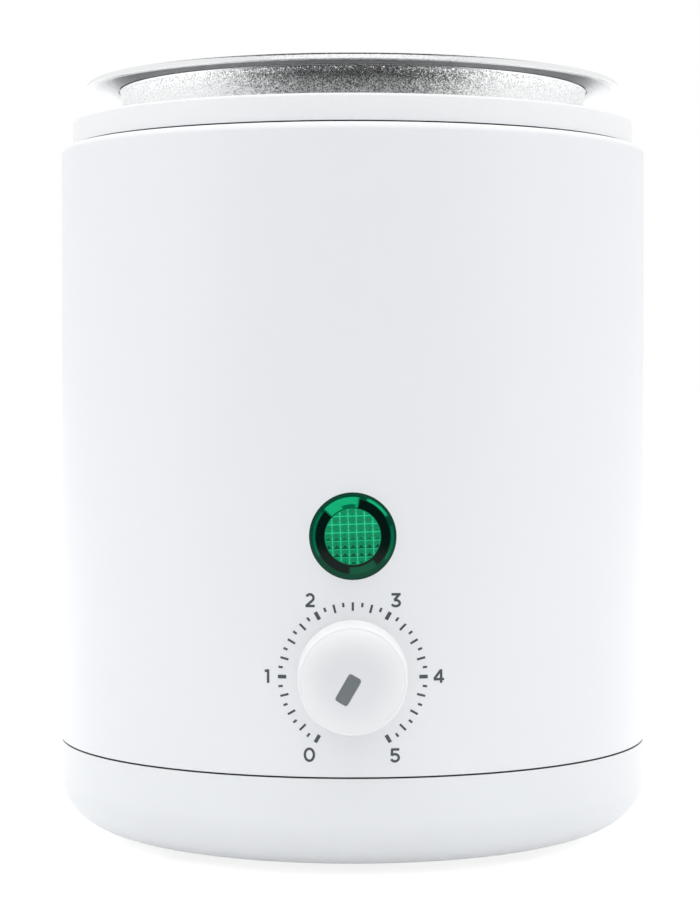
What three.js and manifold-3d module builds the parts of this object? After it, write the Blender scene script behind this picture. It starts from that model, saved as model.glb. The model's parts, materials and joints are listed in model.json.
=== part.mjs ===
// Wax warmer: a round housing, a fixed heated well, a lift-out pot, a rotary heat control
// and a pilot lamp. Millimetres, +Z up, the control faces -Y, and the object stands on Z = 0.
import * as THREE from "three";
import { mergeVertices } from "three/addons/utils/BufferGeometryUtils.js";
import Module from "manifold-3d";

const wasm = await Module();
wasm.setup();

// Fits that are shared by all pieces
const fitGap = 0.3;
const seamGap = 0.4;
const cutOverrun = 2;

// Lift-out pot: its inside takes a 400 ml fill
const potRadius = 43.85;
const potDepth = 66.95;
const potSheet = 1.05;
const potPlay = 0.9;
const potFlangeReach = 5.9;
const potStepDrop = 0.52;
const potStepPlay = 1.1;

// Heated well with its bead lip and its clamping flange
const wellWall = 2;
const wellFloor = 4;
const wellCorner = 4;
const lipBeadReach = 0.45;
const lipBeadHeight = 1.6;
const lipRise = 6.56;
const lipRounding = 0.7;
const wellFlange = 1.5;
const gasketThickness = 0.8;
const deckPlay = 2.2;

// Heater band, its clamp and the shield round it
const bandThickness = 1.8;
const bandRise = 10;
const bandHeadroom = 14.6;
const bandSlot = 3;
const earSheet = 1.2;
const earHeight = 12;
const earRoom = 1.1;
const bandAir = 1.1;
const shieldSheet = 0.5;
const shieldSlot = 28;
const clampShank = 1.5;
const clampHead = 2.6;
const clampLength = 9;

// Housing: body, collar and base
const bodyWall = 2.5;
const shoulderRounding = 1;
const collarSetback = 2.3;
const collarHeight = 4.8;
const collarPlate = 2;
const collarRounding = 1.2;
const collarPlay = 0.8;
const baseHeight = 17.7;
const baseFloor = 2.5;
const baseCornerWidth = 12.3;
const baseCornerHeight = 9.9;
const tongueHeight = 4;
const tongueThickness = 2;
const padStep = 0.4;
const padMargin = 1;

// Screws
const collarShank = 1.25;
const collarHead = 2.4;
const collarHeadHeight = 1.8;
const collarScrewRoom = 0.6;
const collarBoss = 2.6;
const collarPilotSkin = 1;
const collarScrewCount = 3;
const collarScrewStart = 30;
const baseShank = 1.5;
const baseHead = 3;
const baseHeadHeight = 2.2;
const baseScrewLength = 17;
const baseHeadDepth = 5.5;
const baseScrewCount = 4;
const baseScrewStart = 45;
const columnWall = 2.2;
const columnHeight = 25;
const columnSetback = 11.5;
const ribThickness = 3;
const clipShank = 1.5;
const clipHead = 2.7;
const clipHeadHeight = 1.6;
const clipGrip = 2.4;

// Feet
const footHeight = 2;
const footRadius = 6;
const footNeck = 2;
const footHead = 3;
const footHeadHeight = 1.5;
const footSetback = 16;
const footRounding = 0.5;

// Underside: vents and a bare label recess
const ventLength = 14;
const ventWidth = 3;
const ventPitch = 7;
const ventRows = 3;
const ventSetback = 20;
const labelLength = 34;
const labelWidth = 22;
const labelDepth = 0.5;
const labelRounding = 3;

// Heat control: thermostat, bush and spindle, looking at it from the front
const caseWidth = 32;
const caseHeight = 28;
const caseDepth = 17;
const caseRounding = 2;
const caseRoom = 1;
const bracketSheet = 1.2;
const bracketMargin = 1;
const bushRadius = 4.75;
const bushRise = 4.6;
const washerSheet = 0.8;
const washerReach = 2.6;
const nutFlats = 13;
const nutThickness = 2.5;
const spindleRadius = 3;
const spindleFlat = 0.7;
const spindleSeat = 4;
const tabWidth = 6.3;
const tabSheet = 0.8;
const tabLength = 8;
const caseTabPitch = 16;

// Knob and its pointer
const knobRadius = 9.8;
const knobReach = 11.2;
const knobStandoff = 0.6;
const knobWall = 1.4;
const knobFace = 1.7;
const knobDome = 0.45;
const knobRounding = 0.7;
const knobHub = 4.6;
const pointerLength = 5.32;
const pointerWidth = 2.41;
const pointerOffset = 1.9;
const pointerDepth = 0.6;
const pointerRounding = 0.4;
const pointerGap = 0.1;
const pointerFromDown = 30;

// Pilot lamp
const lampGap = 5.1;
const lensRadius = 8;
const lensRim = 1.5;
const lensDome = 0.7;
const lensFace = 1.2;
const lensRounding = 0.6;
const holderRadius = 6.3;
const holderWall = 1.1;
const holderDepth = 24;
const lensSkirt = 7.5;
const lampClipReach = 2.8;
const lampClipSheet = 1.2;
const neonRadius = 2.4;
const neonLength = 15;
const lampTabPitch = 6;
const lampTabWidth = 2.8;

// Sensor, fuse and earth under the well
const wellRoom = 10.7;
const bulbRadius = 2.5;
const bulbLength = 44;
const clipSheet = 1;
const clipWidth = 10;
const clipFoot = 7;
const fuseRadius = 2;
const fuseLength = 13;
const fuseSetback = 20;
const fuseClipWidth = 6;
const earthSetback = 20;
const tagLength = 14;
const tagWidth = 7;

// Terminal block on two pegs
const blockWays = 4;
const blockPitch = 8;
const blockDepth = 14;
const blockHeight = 10;
const pegRadius = 2.6;
const pegHeight = 3.5;
const blockShank = 1.2;
const blockHead = 2.1;
const blockHeadHeight = 1.4;

// Cord gland at the rear, with an open bore
const glandBore = 3.9;
const glandThread = 6.7;
const glandFlange = 9;
const glandNose = 7.4;
const glandReach = 9;
const glandFlangeThickness = 2;
const glandPadProud = 0.5;
const glandRoom = 0.8;
const glandNutFlats = 18;
const glandNutThickness = 3;
const glandTail = 3;

// Wires and the capillary
const wireRadius = 1.1;
const capillaryRadius = 0.8;
const wirePull = 14;
const longPull = 34;
const shortPull = 9;
const heaterLeadFromSide = 35;

// Facets
const rimSides = 44;
const knobSides = 28;
const smallSides = 14;
const footSides = 12;
const screwSides = 8;
const wireSides = 8;
const wireSteps = 8;
const domeSteps = 3;
const clipArcSteps = 5;
const cornerArcSteps = 5;
const arcStepLength = 1.6;
const fewestArcSteps = 2;
const mostArcSteps = 4;
const arcRoomShare = 0.495;

// Radii, from the pot outwards
const potOuter = potRadius + potSheet;
const wellInner = potOuter + potPlay;
const wellOuter = wellInner + wellWall;
const lipRadius = wellOuter + lipBeadReach;
const bandInner = wellOuter + fitGap;
const bandOuter = bandInner + bandThickness;
const shieldInner = bandOuter + bandAir;
const shieldOuter = shieldInner + shieldSheet;
const collarScrewCircle = shieldOuter + collarScrewRoom + collarHead;
const bodyInner = collarScrewCircle + collarHead + collarScrewRoom;
const bodyRadius = bodyInner + bodyWall;
const collarRadius = bodyRadius - collarSetback;
const skirtInner = collarRadius - bodyWall;
const deckInner = wellOuter + deckPlay;
const wellFlangeRadius = skirtInner - 2 * fitGap;
const potStepRadius = lipRadius + potStepPlay;
const potFlangeRadius = potStepRadius + potFlangeReach;
const columnCircle = bodyInner - columnSetback;
const columnRadius = baseShank + fitGap + columnWall;
const footCircle = columnCircle - footSetback;

// Heights, from the surface upwards
const baseBottom = footHeight;
const baseTop = baseBottom + baseHeight;
const floorTop = baseBottom + baseFloor;
const bodyBottom = baseTop + seamGap;
const tongueTop = baseTop + tongueHeight;
const controlZ = tongueTop + caseRoom + caseHeight / 2;
const lampZ = controlZ + caseHeight / 2 + lampGap + holderRadius;
const wellBottom = lampZ + holderRadius + wellRoom;
const wellFloorTop = wellBottom + wellFloor;
const potBottom = wellFloorTop + fitGap;
const potWebTop = potBottom + potSheet + potDepth;
const potWebUnder = potWebTop - potSheet;
const lipTop = potWebUnder - fitGap;
const collarTop = lipTop - lipRise;
const collarBottom = collarTop - collarHeight;
const bodyTop = collarBottom - seamGap;
const deckBottom = bodyTop - bodyWall;
const gasketBottom = bodyTop + fitGap;
const wellFlangeBottom = gasketBottom + gasketThickness + fitGap;
const wellFlangeTop = wellFlangeBottom + wellFlange;
const collarPlateBottom = collarTop - collarPlate;
const shieldTop = deckBottom - fitGap;
const bandBottom = wellBottom + bandRise;
const bandTop = wellFlangeBottom - bandHeadroom;
const bandMiddle = (bandBottom + bandTop) / 2;
const shieldBottom = bandBottom + fitGap;
const glandNutRadius = glandNutFlats / 2 / Math.cos(Math.PI / 6);
const glandZ = tongueTop + glandRoom + glandNutRadius;
const blockBottom = floorTop + pegHeight + fitGap;

// Materials, as the outside and the inside of such a warmer look
const finish = (color, roughness, metalness = 0) =>
  new THREE.MeshStandardMaterial({ color, roughness, metalness });
const whitePlastic = finish(0xf0f1f3, 0.35);
const knobPlastic = finish(0xf3f4f5, 0.3);
const pointerPlastic = finish(0x6a7073, 0.45);
const spunAluminium = finish(0xc9cbcd, 0.28, 1);
const castAluminium = finish(0xa9acae, 0.5, 1);
const sheetSteel = finish(0xb9bcbf, 0.35, 1);
const zincSteel = finish(0xa7a9ac, 0.38, 1);
const brass = finish(0xc2a150, 0.35, 1);
const bandSteel = finish(0x8b8d90, 0.45, 1);
const silicone = finish(0xb24a34, 0.7);
const rubber = finish(0x2a2b2c, 0.85);
const bakelite = finish(0x1f1f20, 0.5);
const nylon = finish(0xd9d6cc, 0.55);
const greenLens = finish(0x0b8a52, 0.12);
const clearGlass = finish(0xe6e8e6, 0.08);
const copper = finish(0xb8734b, 0.35, 1);
const wireSkins = {
  live: finish(0x7a4327, 0.5),
  neutral: finish(0x2f5f9e, 0.5),
  earth: finish(0x6f9c2f, 0.5),
  heat: finish(0xd8d2c2, 0.6),
};

// Turns [x, y, rounding] corners into outline points, with each rounded corner as an arc.
function outline(corners) {
  const at = (i) => new THREE.Vector2(...corners[(i + corners.length) % corners.length].slice(0, 2));
  return corners.flatMap(([, , rounding = 0], i) => {
    const here = at(i);
    if (!rounding) return [here];
    const back = at(i - 1).sub(here);
    const ahead = at(i + 1).sub(here);
    const half = Math.abs(Math.atan2(back.cross(ahead), back.dot(ahead))) / 2;
    const room = Math.min(back.length(), ahead.length()) * arcRoomShare;
    const setback = Math.min(rounding / Math.tan(half), room);
    const radius = setback * Math.tan(half);
    const inward = back.clone().normalize().add(ahead.clone().normalize()).normalize();
    const centre = here.clone().addScaledVector(inward, radius / Math.sin(half));
    const from = here.clone().addScaledVector(back.normalize(), setback).sub(centre).angle();
    const to = here.clone().addScaledVector(ahead.normalize(), setback).sub(centre).angle();
    const turn = THREE.MathUtils.euclideanModulo(to - from + Math.PI, 2 * Math.PI) - Math.PI;
    const steps = Math.ceil((radius * Math.abs(turn)) / arcStepLength);
    const kept = THREE.MathUtils.clamp(steps, fewestArcSteps, mostArcSteps);
    return arc(centre, [radius, radius], from, turn, kept);
  });
}

// Points of an elliptical arc from an angle, through a signed turn.
function arc(centre, [across, up], from, turn, steps) {
  return Array.from({ length: steps + 1 }, (_, k) => {
    const angle = from + (turn * k) / steps;
    return new THREE.Vector2(centre.x + across * Math.cos(angle), centre.y + up * Math.sin(angle));
  });
}

// Spins an outline in (radius, height) about +Z. One that starts on the axis is closed by it.
function turned(points, sides) {
  const path = points.map((p) => p.clone());
  if (THREE.ShapeUtils.area(path) < 0) path.reverse();
  if (Math.min(path[0].x, path.at(-1).x) > 0) path.push(path[0].clone());
  return new THREE.LatheGeometry(path, sides).rotateX(Math.PI / 2);
}

function disc(radius, bottom, top, sides = smallSides) {
  return turned(outline([[0, bottom], [radius, bottom], [radius, top], [0, top]]), sides);
}

function ring(inner, outer, bottom, top, sides = smallSides) {
  return turned(outline([[inner, bottom], [outer, bottom], [outer, top], [inner, top]]), sides);
}

function plate(points, bottom, top) {
  const extruded = new THREE.ExtrudeGeometry(new THREE.Shape(points), {
    depth: top - bottom,
    bevelEnabled: false,
  });
  return extruded.translate(0, 0, bottom);
}

function roundedRectangle(width, height, rounding) {
  const [x, y] = [width / 2, height / 2];
  return outline([[-x, -y, rounding], [x, -y, rounding], [x, y, rounding], [-x, y, rounding]]);
}

// A box between two corners.
function block(low, high) {
  const size = high.map((value, i) => value - low[i]);
  const centre = high.map((value, i) => (value + low[i]) / 2);
  return new THREE.BoxGeometry(...size).translate(...centre);
}

// A hexagon across its flats, with a round bore.
function hexNut(flats, bore, bottom, top) {
  return cut(
    disc(flats / 2 / Math.cos(Math.PI / 6), bottom, top, 6),
    disc(bore, bottom - cutOverrun, top + cutOverrun),
  );
}

// A pan-head screw along +Z: the head hangs below zero and the shank rises from it.
function screwShape(head, headHeight, shank, length) {
  return turned(
    outline([
      [0, -headHeight],
      [head, -headHeight, headHeight / 2],
      [head, 0],
      [shank, 0],
      [shank, length],
      [0, length],
    ]),
    screwSides,
  );
}

function tube(curve, radius, steps = wireSteps) {
  const section = Array.from({ length: wireSides }, (_, k) => {
    const angle = (2 * Math.PI * k) / wireSides;
    return new THREE.Vector2(radius * Math.cos(angle), radius * Math.sin(angle));
  });
  const path = { steps, extrudePath: curve, bevelEnabled: false };
  return new THREE.ExtrudeGeometry(new THREE.Shape(section), path);
}

// Booleans on closed three.js geometries.
function solid(geometry) {
  const bare = geometry.index ? geometry.toNonIndexed() : geometry.clone();
  bare.deleteAttribute("normal");
  bare.deleteAttribute("uv");
  const merged = mergeVertices(bare);
  return new wasm.Manifold(
    new wasm.Mesh({
      numProp: 3,
      vertProperties: merged.attributes.position.array,
      triVerts: new Uint32Array(merged.index.array),
    }),
  );
}

function geometryOf(manifold) {
  const mesh = manifold.getMesh();
  return new THREE.BufferGeometry()
    .setAttribute("position", new THREE.BufferAttribute(new Float32Array(mesh.vertProperties), 3))
    .setIndex(new THREE.BufferAttribute(new Uint32Array(mesh.triVerts), 1));
}

function joined(first, ...others) {
  return geometryOf(others.reduce((whole, next) => whole.add(solid(next)), solid(first)));
}

function cut(first, ...tools) {
  return geometryOf(tools.reduce((whole, next) => whole.subtract(solid(next)), solid(first)));
}

function shared(first, second) {
  return geometryOf(solid(first).intersect(solid(second)));
}

const facingFront = (geometry) => geometry.rotateX(Math.PI / 2);
const facingRear = (geometry) => geometry.rotateX(-Math.PI / 2).rotateY(Math.PI);
const degrees = THREE.MathUtils.degToRad;

// Evenly spaced places on a circle about the body axis.
function placesOn(circle, count, startDegrees) {
  return Array.from({ length: count }, (_, k) => {
    const angle = degrees(startDegrees + (360 * k) / count);
    return { x: circle * Math.cos(angle), y: circle * Math.sin(angle), angle };
  });
}

const baseScrewPlaces = placesOn(columnCircle, baseScrewCount, baseScrewStart);
const collarScrewPlaces = placesOn(collarScrewCircle, collarScrewCount, collarScrewStart);
const footPlaces = placesOn(footCircle, baseScrewCount, baseScrewStart);

// Flat seats on the inside of the round wall, as a distance from the body axis
const flatInside = (reach) => Math.sqrt(bodyInner ** 2 - reach ** 2) - padStep;
const controlPadRadius = bushRadius + washerReach + padMargin;
const controlSeat = flatInside(caseWidth / 2);
const lampPadRadius = holderRadius + fitGap + lampClipReach + padMargin;
const lampSeat = flatInside(lampPadRadius);
const glandPadRadius = glandFlange + padMargin;
const glandSeat = flatInside(glandNutRadius + padMargin);
const glandFace = bodyRadius + glandPadProud;
const glandHeadTop = glandFace + fitGap + glandReach;

const warmer = new THREE.Group();

function add(parent, name, geometry, material, [x, y, z] = [0, 0, 0]) {
  const mesh = new THREE.Mesh(geometry, material);
  mesh.name = name;
  mesh.position.set(x, y, z);
  parent.add(mesh);
  return mesh;
}

// Body shell: round wall, inner deck, screw columns with ribs, flat seats and panel holes.
function bodyShell() {
  const wall = turned(
    outline([
      [bodyRadius, bodyBottom],
      [bodyRadius, bodyTop, shoulderRounding],
      [deckInner, bodyTop],
      [deckInner, deckBottom],
      [bodyInner, deckBottom],
      [bodyInner, bodyBottom],
    ]),
    rimSides,
  );
  const core = disc(bodyInner + bodyWall / 2, bodyBottom, bodyTop, rimSides);
  const seats = [
    facingFront(disc(controlPadRadius, controlSeat, bodyRadius)).translate(0, 0, controlZ),
    facingFront(disc(lampPadRadius, lampSeat, bodyRadius)).translate(0, 0, lampZ),
    facingRear(disc(glandNutRadius, glandSeat, bodyRadius)).translate(0, 0, glandZ),
  ].map((seat) => shared(seat, core));
  const rearPad = facingRear(disc(glandPadRadius, bodyInner + bodyWall / 2, glandFace, knobSides));
  const columns = baseScrewPlaces.flatMap(({ x, y, angle }) => [
    disc(columnRadius, bodyBottom, bodyBottom + columnHeight).translate(x, y, 0),
    block(
      [columnCircle, -ribThickness / 2, tongueTop + fitGap],
      [bodyInner + bodyWall / 2, ribThickness / 2, bodyBottom + columnHeight],
    ).rotateZ(angle),
  ]);
  const pilotTop = bodyBottom + columnHeight - columnWall;
  const holes = [
    facingFront(disc(bushRadius + fitGap, 0, bodyRadius + cutOverrun)).translate(0, 0, controlZ),
    facingFront(disc(holderRadius + fitGap, 0, bodyRadius + cutOverrun)).translate(0, 0, lampZ),
    facingRear(disc(glandThread + fitGap, 0, glandFace + cutOverrun)).translate(0, 0, glandZ),
    ...baseScrewPlaces.map(({ x, y }) =>
      disc(baseShank + fitGap, bodyBottom - cutOverrun, pilotTop).translate(x, y, 0),
    ),
    ...collarScrewPlaces.map(({ x, y }) =>
      disc(collarShank + fitGap, deckBottom - cutOverrun, bodyTop + cutOverrun).translate(x, y, 0),
    ),
  ];
  const whole = joined(wall, ...seats, rearPad.translate(0, 0, glandZ), ...columns);
  return cut(whole, ...holes);
}

// Collar ring: a skirt and a top plate, with bosses that take the screws from below.
function collarRing() {
  const cap = turned(
    outline([
      [collarRadius, collarBottom],
      [collarRadius, collarTop, collarRounding],
      [lipRadius + collarPlay, collarTop, collarPlate / 4],
      [lipRadius + collarPlay, collarPlateBottom],
      [skirtInner, collarPlateBottom],
      [skirtInner, collarBottom],
    ]),
    rimSides,
  );
  const bosses = collarScrewPlaces.map(({ x, y }) =>
    disc(collarBoss, collarBottom, collarPlateBottom + collarPlate / 2).translate(x, y, 0),
  );
  const pilots = collarScrewPlaces.map(({ x, y }) =>
    disc(collarShank + fitGap, collarBottom - cutOverrun, collarTop - collarPilotSkin).translate(x, y, 0),
  );
  return cut(joined(cap, ...bosses), ...pilots);
}

// Base pan: dished cover with a tongue inside the body, screw posts, vents and a label recess.
function basePan() {
  const quarter = Math.PI / 2;
  const corner = (inset) =>
    arc(
      new THREE.Vector2(bodyRadius - baseCornerWidth, baseBottom + baseCornerHeight),
      [baseCornerWidth - inset, baseCornerHeight - inset],
      -quarter,
      quarter,
      cornerArcSteps,
    );
  const outside = [
    new THREE.Vector2(0, baseBottom),
    ...corner(0),
    ...outline([[bodyRadius, baseTop], [0, baseTop]]),
  ];
  const tongue = ring(
    bodyInner - fitGap - tongueThickness,
    bodyInner - fitGap,
    baseTop - tongueThickness,
    tongueTop,
    rimSides,
  );
  const hollow = [
    new THREE.Vector2(0, floorTop),
    ...corner(baseFloor),
    ...outline([
      [bodyRadius - baseFloor, baseTop - 2 * tongueThickness],
      [bodyInner - fitGap - tongueThickness, baseTop - tongueThickness],
      [bodyInner - fitGap - tongueThickness, tongueTop + cutOverrun],
      [0, tongueTop + cutOverrun],
    ]),
  ];
  const form = turned(outside, rimSides);
  const posts = baseScrewPlaces.map(({ x, y }) =>
    shared(disc(baseHead + fitGap + columnWall / 2, baseBottom, baseTop).translate(x, y, 0), form),
  );
  const pegs = blockPegPlaces().map(({ x }) =>
    disc(pegRadius, baseBottom + baseFloor / 2, floorTop + pegHeight).translate(x, 0, 0),
  );
  const shell = cut(joined(form, tongue), turned(hollow, rimSides));
  return cut(joined(shell, ...posts, ...pegs), ...basePanHoles());
}

function basePanHoles() {
  const below = baseBottom - cutOverrun;
  const screwHoles = baseScrewPlaces.flatMap(({ x, y }) => [
    disc(baseHead + fitGap, below, baseBottom + baseHeadDepth + baseHeadHeight).translate(x, y, 0),
    disc(baseShank + fitGap, below, baseTop + cutOverrun).translate(x, y, 0),
  ]);
  const footHoles = footPlaces.map(({ x, y }) =>
    disc(footNeck + fitGap, below, floorTop + cutOverrun).translate(x, y, 0),
  );
  const pegHoles = blockPegPlaces().map(({ x }) =>
    disc(blockShank + fitGap, floorTop, floorTop + pegHeight + cutOverrun).translate(x, 0, 0),
  );
  const vent = roundedRectangle(ventLength, ventWidth, ventWidth / 2);
  const vents = [-1, 1].flatMap((side) =>
    Array.from({ length: ventRows }, (_, row) => {
      const y = (row - (ventRows - 1) / 2) * ventPitch;
      const x = side * (columnCircle - ventSetback);
      return plate(vent, below, floorTop + cutOverrun).translate(x, y, 0);
    }),
  );
  const label = roundedRectangle(labelLength, labelWidth, labelRounding);
  const labelRecess = plate(label, below, baseBottom + labelDepth);
  return [...screwHoles, ...footHoles, ...pegHoles, ...vents, labelRecess];
}

function blockPegPlaces() {
  return [-1, 1].map((side) => ({ x: (side * blockPitch * (blockWays - 2)) / 2 }));
}

// Push-in rubber foot: a pad, a neck through the floor and a head that holds it.
function rubberFoot() {
  const headBottom = footHeight + baseFloor + fitGap;
  return turned(
    outline([
      [0, 0],
      [footRadius, 0, footRounding],
      [footRadius, footHeight - fitGap, footRounding],
      [footNeck, footHeight - fitGap],
      [footNeck, headBottom],
      [footHead, headBottom],
      [footHead - footHeadHeight / 2, headBottom + footHeadHeight],
      [0, headBottom + footHeadHeight],
    ]),
    footSides,
  );
}

// Heated well: a cast cup with a bead lip, a flange under the collar and tapped blind holes.
function heatingWell() {
  const cup = turned(
    outline([
      [0, wellBottom],
      [wellOuter, wellBottom, wellCorner],
      [wellOuter, wellFlangeBottom],
      [wellFlangeRadius, wellFlangeBottom],
      [wellFlangeRadius, wellFlangeTop],
      [wellOuter, wellFlangeTop],
      [wellOuter, lipTop - lipBeadHeight],
      [lipRadius, lipTop - lipBeadHeight + lipBeadReach],
      [lipRadius, lipTop, lipRounding],
      [wellInner, lipTop, lipRounding],
      [wellInner, wellFloorTop, wellCorner],
      [0, wellFloorTop],
    ]),
    rimSides,
  );
  const tapped = underScrewPlaces().map(([x, y]) =>
    disc(clipShank + fitGap, wellBottom - cutOverrun, wellBottom + clipGrip + fitGap).translate(x, y, 0),
  );
  return cut(cup, ...notches(wellFlangeBottom, wellFlangeTop), ...tapped);
}

// Half-round notches that let the collar's bosses pass the clamped rings.
function notches(bottom, top) {
  return collarScrewPlaces.map(({ x, y }) =>
    disc(collarBoss + fitGap, bottom - fitGap, top + fitGap).translate(x, y, 0),
  );
}

// Lift-out pot: spun cup whose web rests over the lip and steps down to a flat flange.
function insertPot() {
  const stepUnder = potWebUnder - potStepDrop;
  return turned(
    outline([
      [0, potBottom],
      [potOuter, potBottom, wellCorner + potPlay],
      [potOuter, potWebUnder],
      [potStepRadius, potWebUnder],
      [potStepRadius, stepUnder],
      [potFlangeRadius, stepUnder, potSheet / 2],
      [potFlangeRadius, stepUnder + potSheet, potSheet / 2],
      [potStepRadius + potSheet, stepUnder + potSheet],
      [potStepRadius + potSheet / 2, potWebTop],
      [potRadius, potWebTop, potSheet],
      [potRadius, potBottom + potSheet, wellCorner + potPlay - potSheet],
      [0, potBottom + potSheet],
    ]),
    rimSides,
  );
}

// Heater band: an open ring round the well with two clamp ears at the rear.
function heaterBand() {
  const band = ring(bandInner, bandOuter, bandBottom, bandTop, rimSides);
  const slot = block(
    [-bandSlot / 2, 0, bandBottom - cutOverrun],
    [bandSlot / 2, bodyRadius, bandTop + cutOverrun],
  );
  const ears = [-1, 1].map((side) => {
    const xs = [(side * bandSlot) / 2, side * (bandSlot / 2 + earSheet)].sort((a, b) => a - b);
    return block(
      [xs[0], bandInner + bandThickness / 2, bandMiddle - earHeight / 2],
      [xs[1], bodyInner - earRoom, bandMiddle + earHeight / 2],
    );
  });
  const hole = disc(clampShank + fitGap, -clampLength, clampLength).rotateY(Math.PI / 2);
  return cut(joined(cut(band, slot), ...ears), hole.translate(0, clampY, bandMiddle));
}

const clampY = (bandOuter + bodyInner - earRoom) / 2;

// Heat shield: a rolled sheet hung from the deck, open at the rear where the clamp sits.
function heatShield() {
  const sheet = turned(
    outline([
      [shieldInner, shieldBottom],
      [shieldOuter, shieldBottom],
      [shieldOuter, shieldTop - shieldSheet],
      [bodyInner - collarScrewRoom, shieldTop - shieldSheet],
      [bodyInner - collarScrewRoom, shieldTop],
      [shieldInner, shieldTop],
    ]),
    rimSides,
  );
  const opening = block(
    [-shieldSlot / 2, 0, shieldBottom - cutOverrun],
    [shieldSlot / 2, bodyRadius, shieldTop + cutOverrun],
  );
  const holes = collarScrewPlaces.map(({ x, y }) =>
    disc(collarShank + fitGap, shieldTop - cutOverrun, shieldTop + cutOverrun).translate(x, y, 0),
  );
  return cut(sheet, opening, ...holes);
}

// Housing pieces and their fasteners
function buildHousing() {
  add(warmer, "body_shell", bodyShell(), whitePlastic);
  add(warmer, "collar_ring", collarRing(), whitePlastic);
  add(warmer, "base_pan", basePan(), whitePlastic);
  const footShape = rubberFoot();
  footPlaces.forEach(({ x, y }, i) => add(warmer, `rubber_foot_${i + 1}`, footShape, rubber, [x, y, 0]));
  const baseScrew = screwShape(baseHead, baseHeadHeight, baseShank, baseScrewLength);
  const baseScrewZ = baseBottom + baseHeadDepth + baseHeadHeight - fitGap;
  baseScrewPlaces.forEach(({ x, y }, i) =>
    add(warmer, `base_screw_${i + 1}`, baseScrew, zincSteel, [x, y, baseScrewZ]),
  );
  const collarScrewZ = shieldTop - shieldSheet - fitGap;
  const collarScrewLength = collarTop - collarPilotSkin - fitGap - collarScrewZ;
  const collarScrew = screwShape(collarHead, collarHeadHeight, collarShank, collarScrewLength);
  collarScrewPlaces.forEach(({ x, y }, i) =>
    add(warmer, `collar_screw_${i + 1}`, collarScrew, zincSteel, [x, y, collarScrewZ]),
  );
}

// Well, pot, heater and shield
function buildHeating() {
  add(warmer, "heating_well", heatingWell(), castAluminium);
  const gasketTop = gasketBottom + gasketThickness;
  const gasket = ring(deckInner, wellFlangeRadius, gasketBottom, gasketTop, rimSides);
  add(warmer, "well_gasket", cut(gasket, ...notches(gasketBottom, gasketTop)), silicone);
  add(warmer, "insert_pot", insertPot(), spunAluminium);
  add(warmer, "heater_band", heaterBand(), bandSteel);
  add(warmer, "heat_shield", heatShield(), sheetSteel);
  const clamp = new THREE.Group();
  clamp.position.set(bandSlot / 2 + earSheet + fitGap, clampY, bandMiddle);
  clamp.rotation.y = -Math.PI / 2;
  warmer.add(clamp);
  add(clamp, "band_clamp_screw", screwShape(clampHead, clampShank, clampShank, clampLength), zincSteel);
  const nutBottom = bandSlot + 2 * earSheet + 2 * fitGap;
  const nut = hexNut(2 * clampHead, clampShank + fitGap, nutBottom, nutBottom + clampShank);
  add(clamp, "band_clamp_nut", nut, zincSteel);
}

// Thermostat bracket with its threaded bush, in the front view's frame
function thermostatBracket(seat) {
  const edge = roundedRectangle(caseWidth - bracketMargin, caseHeight - bracketMargin, caseRounding);
  const sheet = plate(edge, seat - bracketSheet, seat);
  const bush = disc(bushRadius, seat - bracketSheet, bushRise, knobSides);
  const bore = disc(spindleRadius + fitGap, seat - cutOverrun, bushRise + cutOverrun);
  return cut(joined(sheet, bush), bore);
}

// A round bore or spindle with one flat side.
function flatSided(radius, flat, bottom, top) {
  const side = block([radius - flat, -radius, bottom - cutOverrun], [2 * radius, radius, top + cutOverrun]);
  return cut(disc(radius, bottom, top), side);
}

// Knob: a hollow cap with a hub for the spindle and a shallow pocket for the pointer.
function controlKnob(hubBack) {
  const pocketTop = spindleTop();
  const edge = knobReach - knobDome;
  const cap = turned(
    [
      ...outline([
        [0, hubBack],
        [knobHub, hubBack],
        [knobHub, pocketTop],
        [knobRadius - knobWall, pocketTop],
        [knobRadius - knobWall, knobStandoff],
        [knobRadius, knobStandoff],
        [knobRadius, edge, knobRounding],
        [0, edge],
      ]).slice(0, -1),
      ...domePoints(knobRadius - knobRounding, edge, knobDome),
    ],
    knobSides,
  );
  const bore = flatSided(spindleRadius + fitGap, spindleFlat, hubBack - cutOverrun, spindleTop() + fitGap);
  const pocket = pointerPlate(pointerGap, knobReach - pointerDepth - pointerGap, knobReach + cutOverrun);
  return cut(cap, bore, pocket);
}

// A shallow dome from near a round edge in to the axis.
function domePoints(radius, edge, rise) {
  return Array.from({ length: domeSteps }, (_, k) => {
    const share = 1 - (k + 1) / domeSteps;
    return new THREE.Vector2(radius * share, edge + rise * (1 - share ** 2));
  });
}

const spindleTop = () => knobReach - knobDome - knobFace;

// The pointer as the rest pose has it: its outer end points down and to the left, at zero.
function pointerPlate(grow, bottom, top) {
  const shape = roundedRectangle(pointerWidth + 2 * grow, pointerLength + 2 * grow, pointerRounding);
  return plate(shape, bottom, top).translate(0, -pointerOffset, 0).rotateZ(-degrees(pointerFromDown));
}

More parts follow.
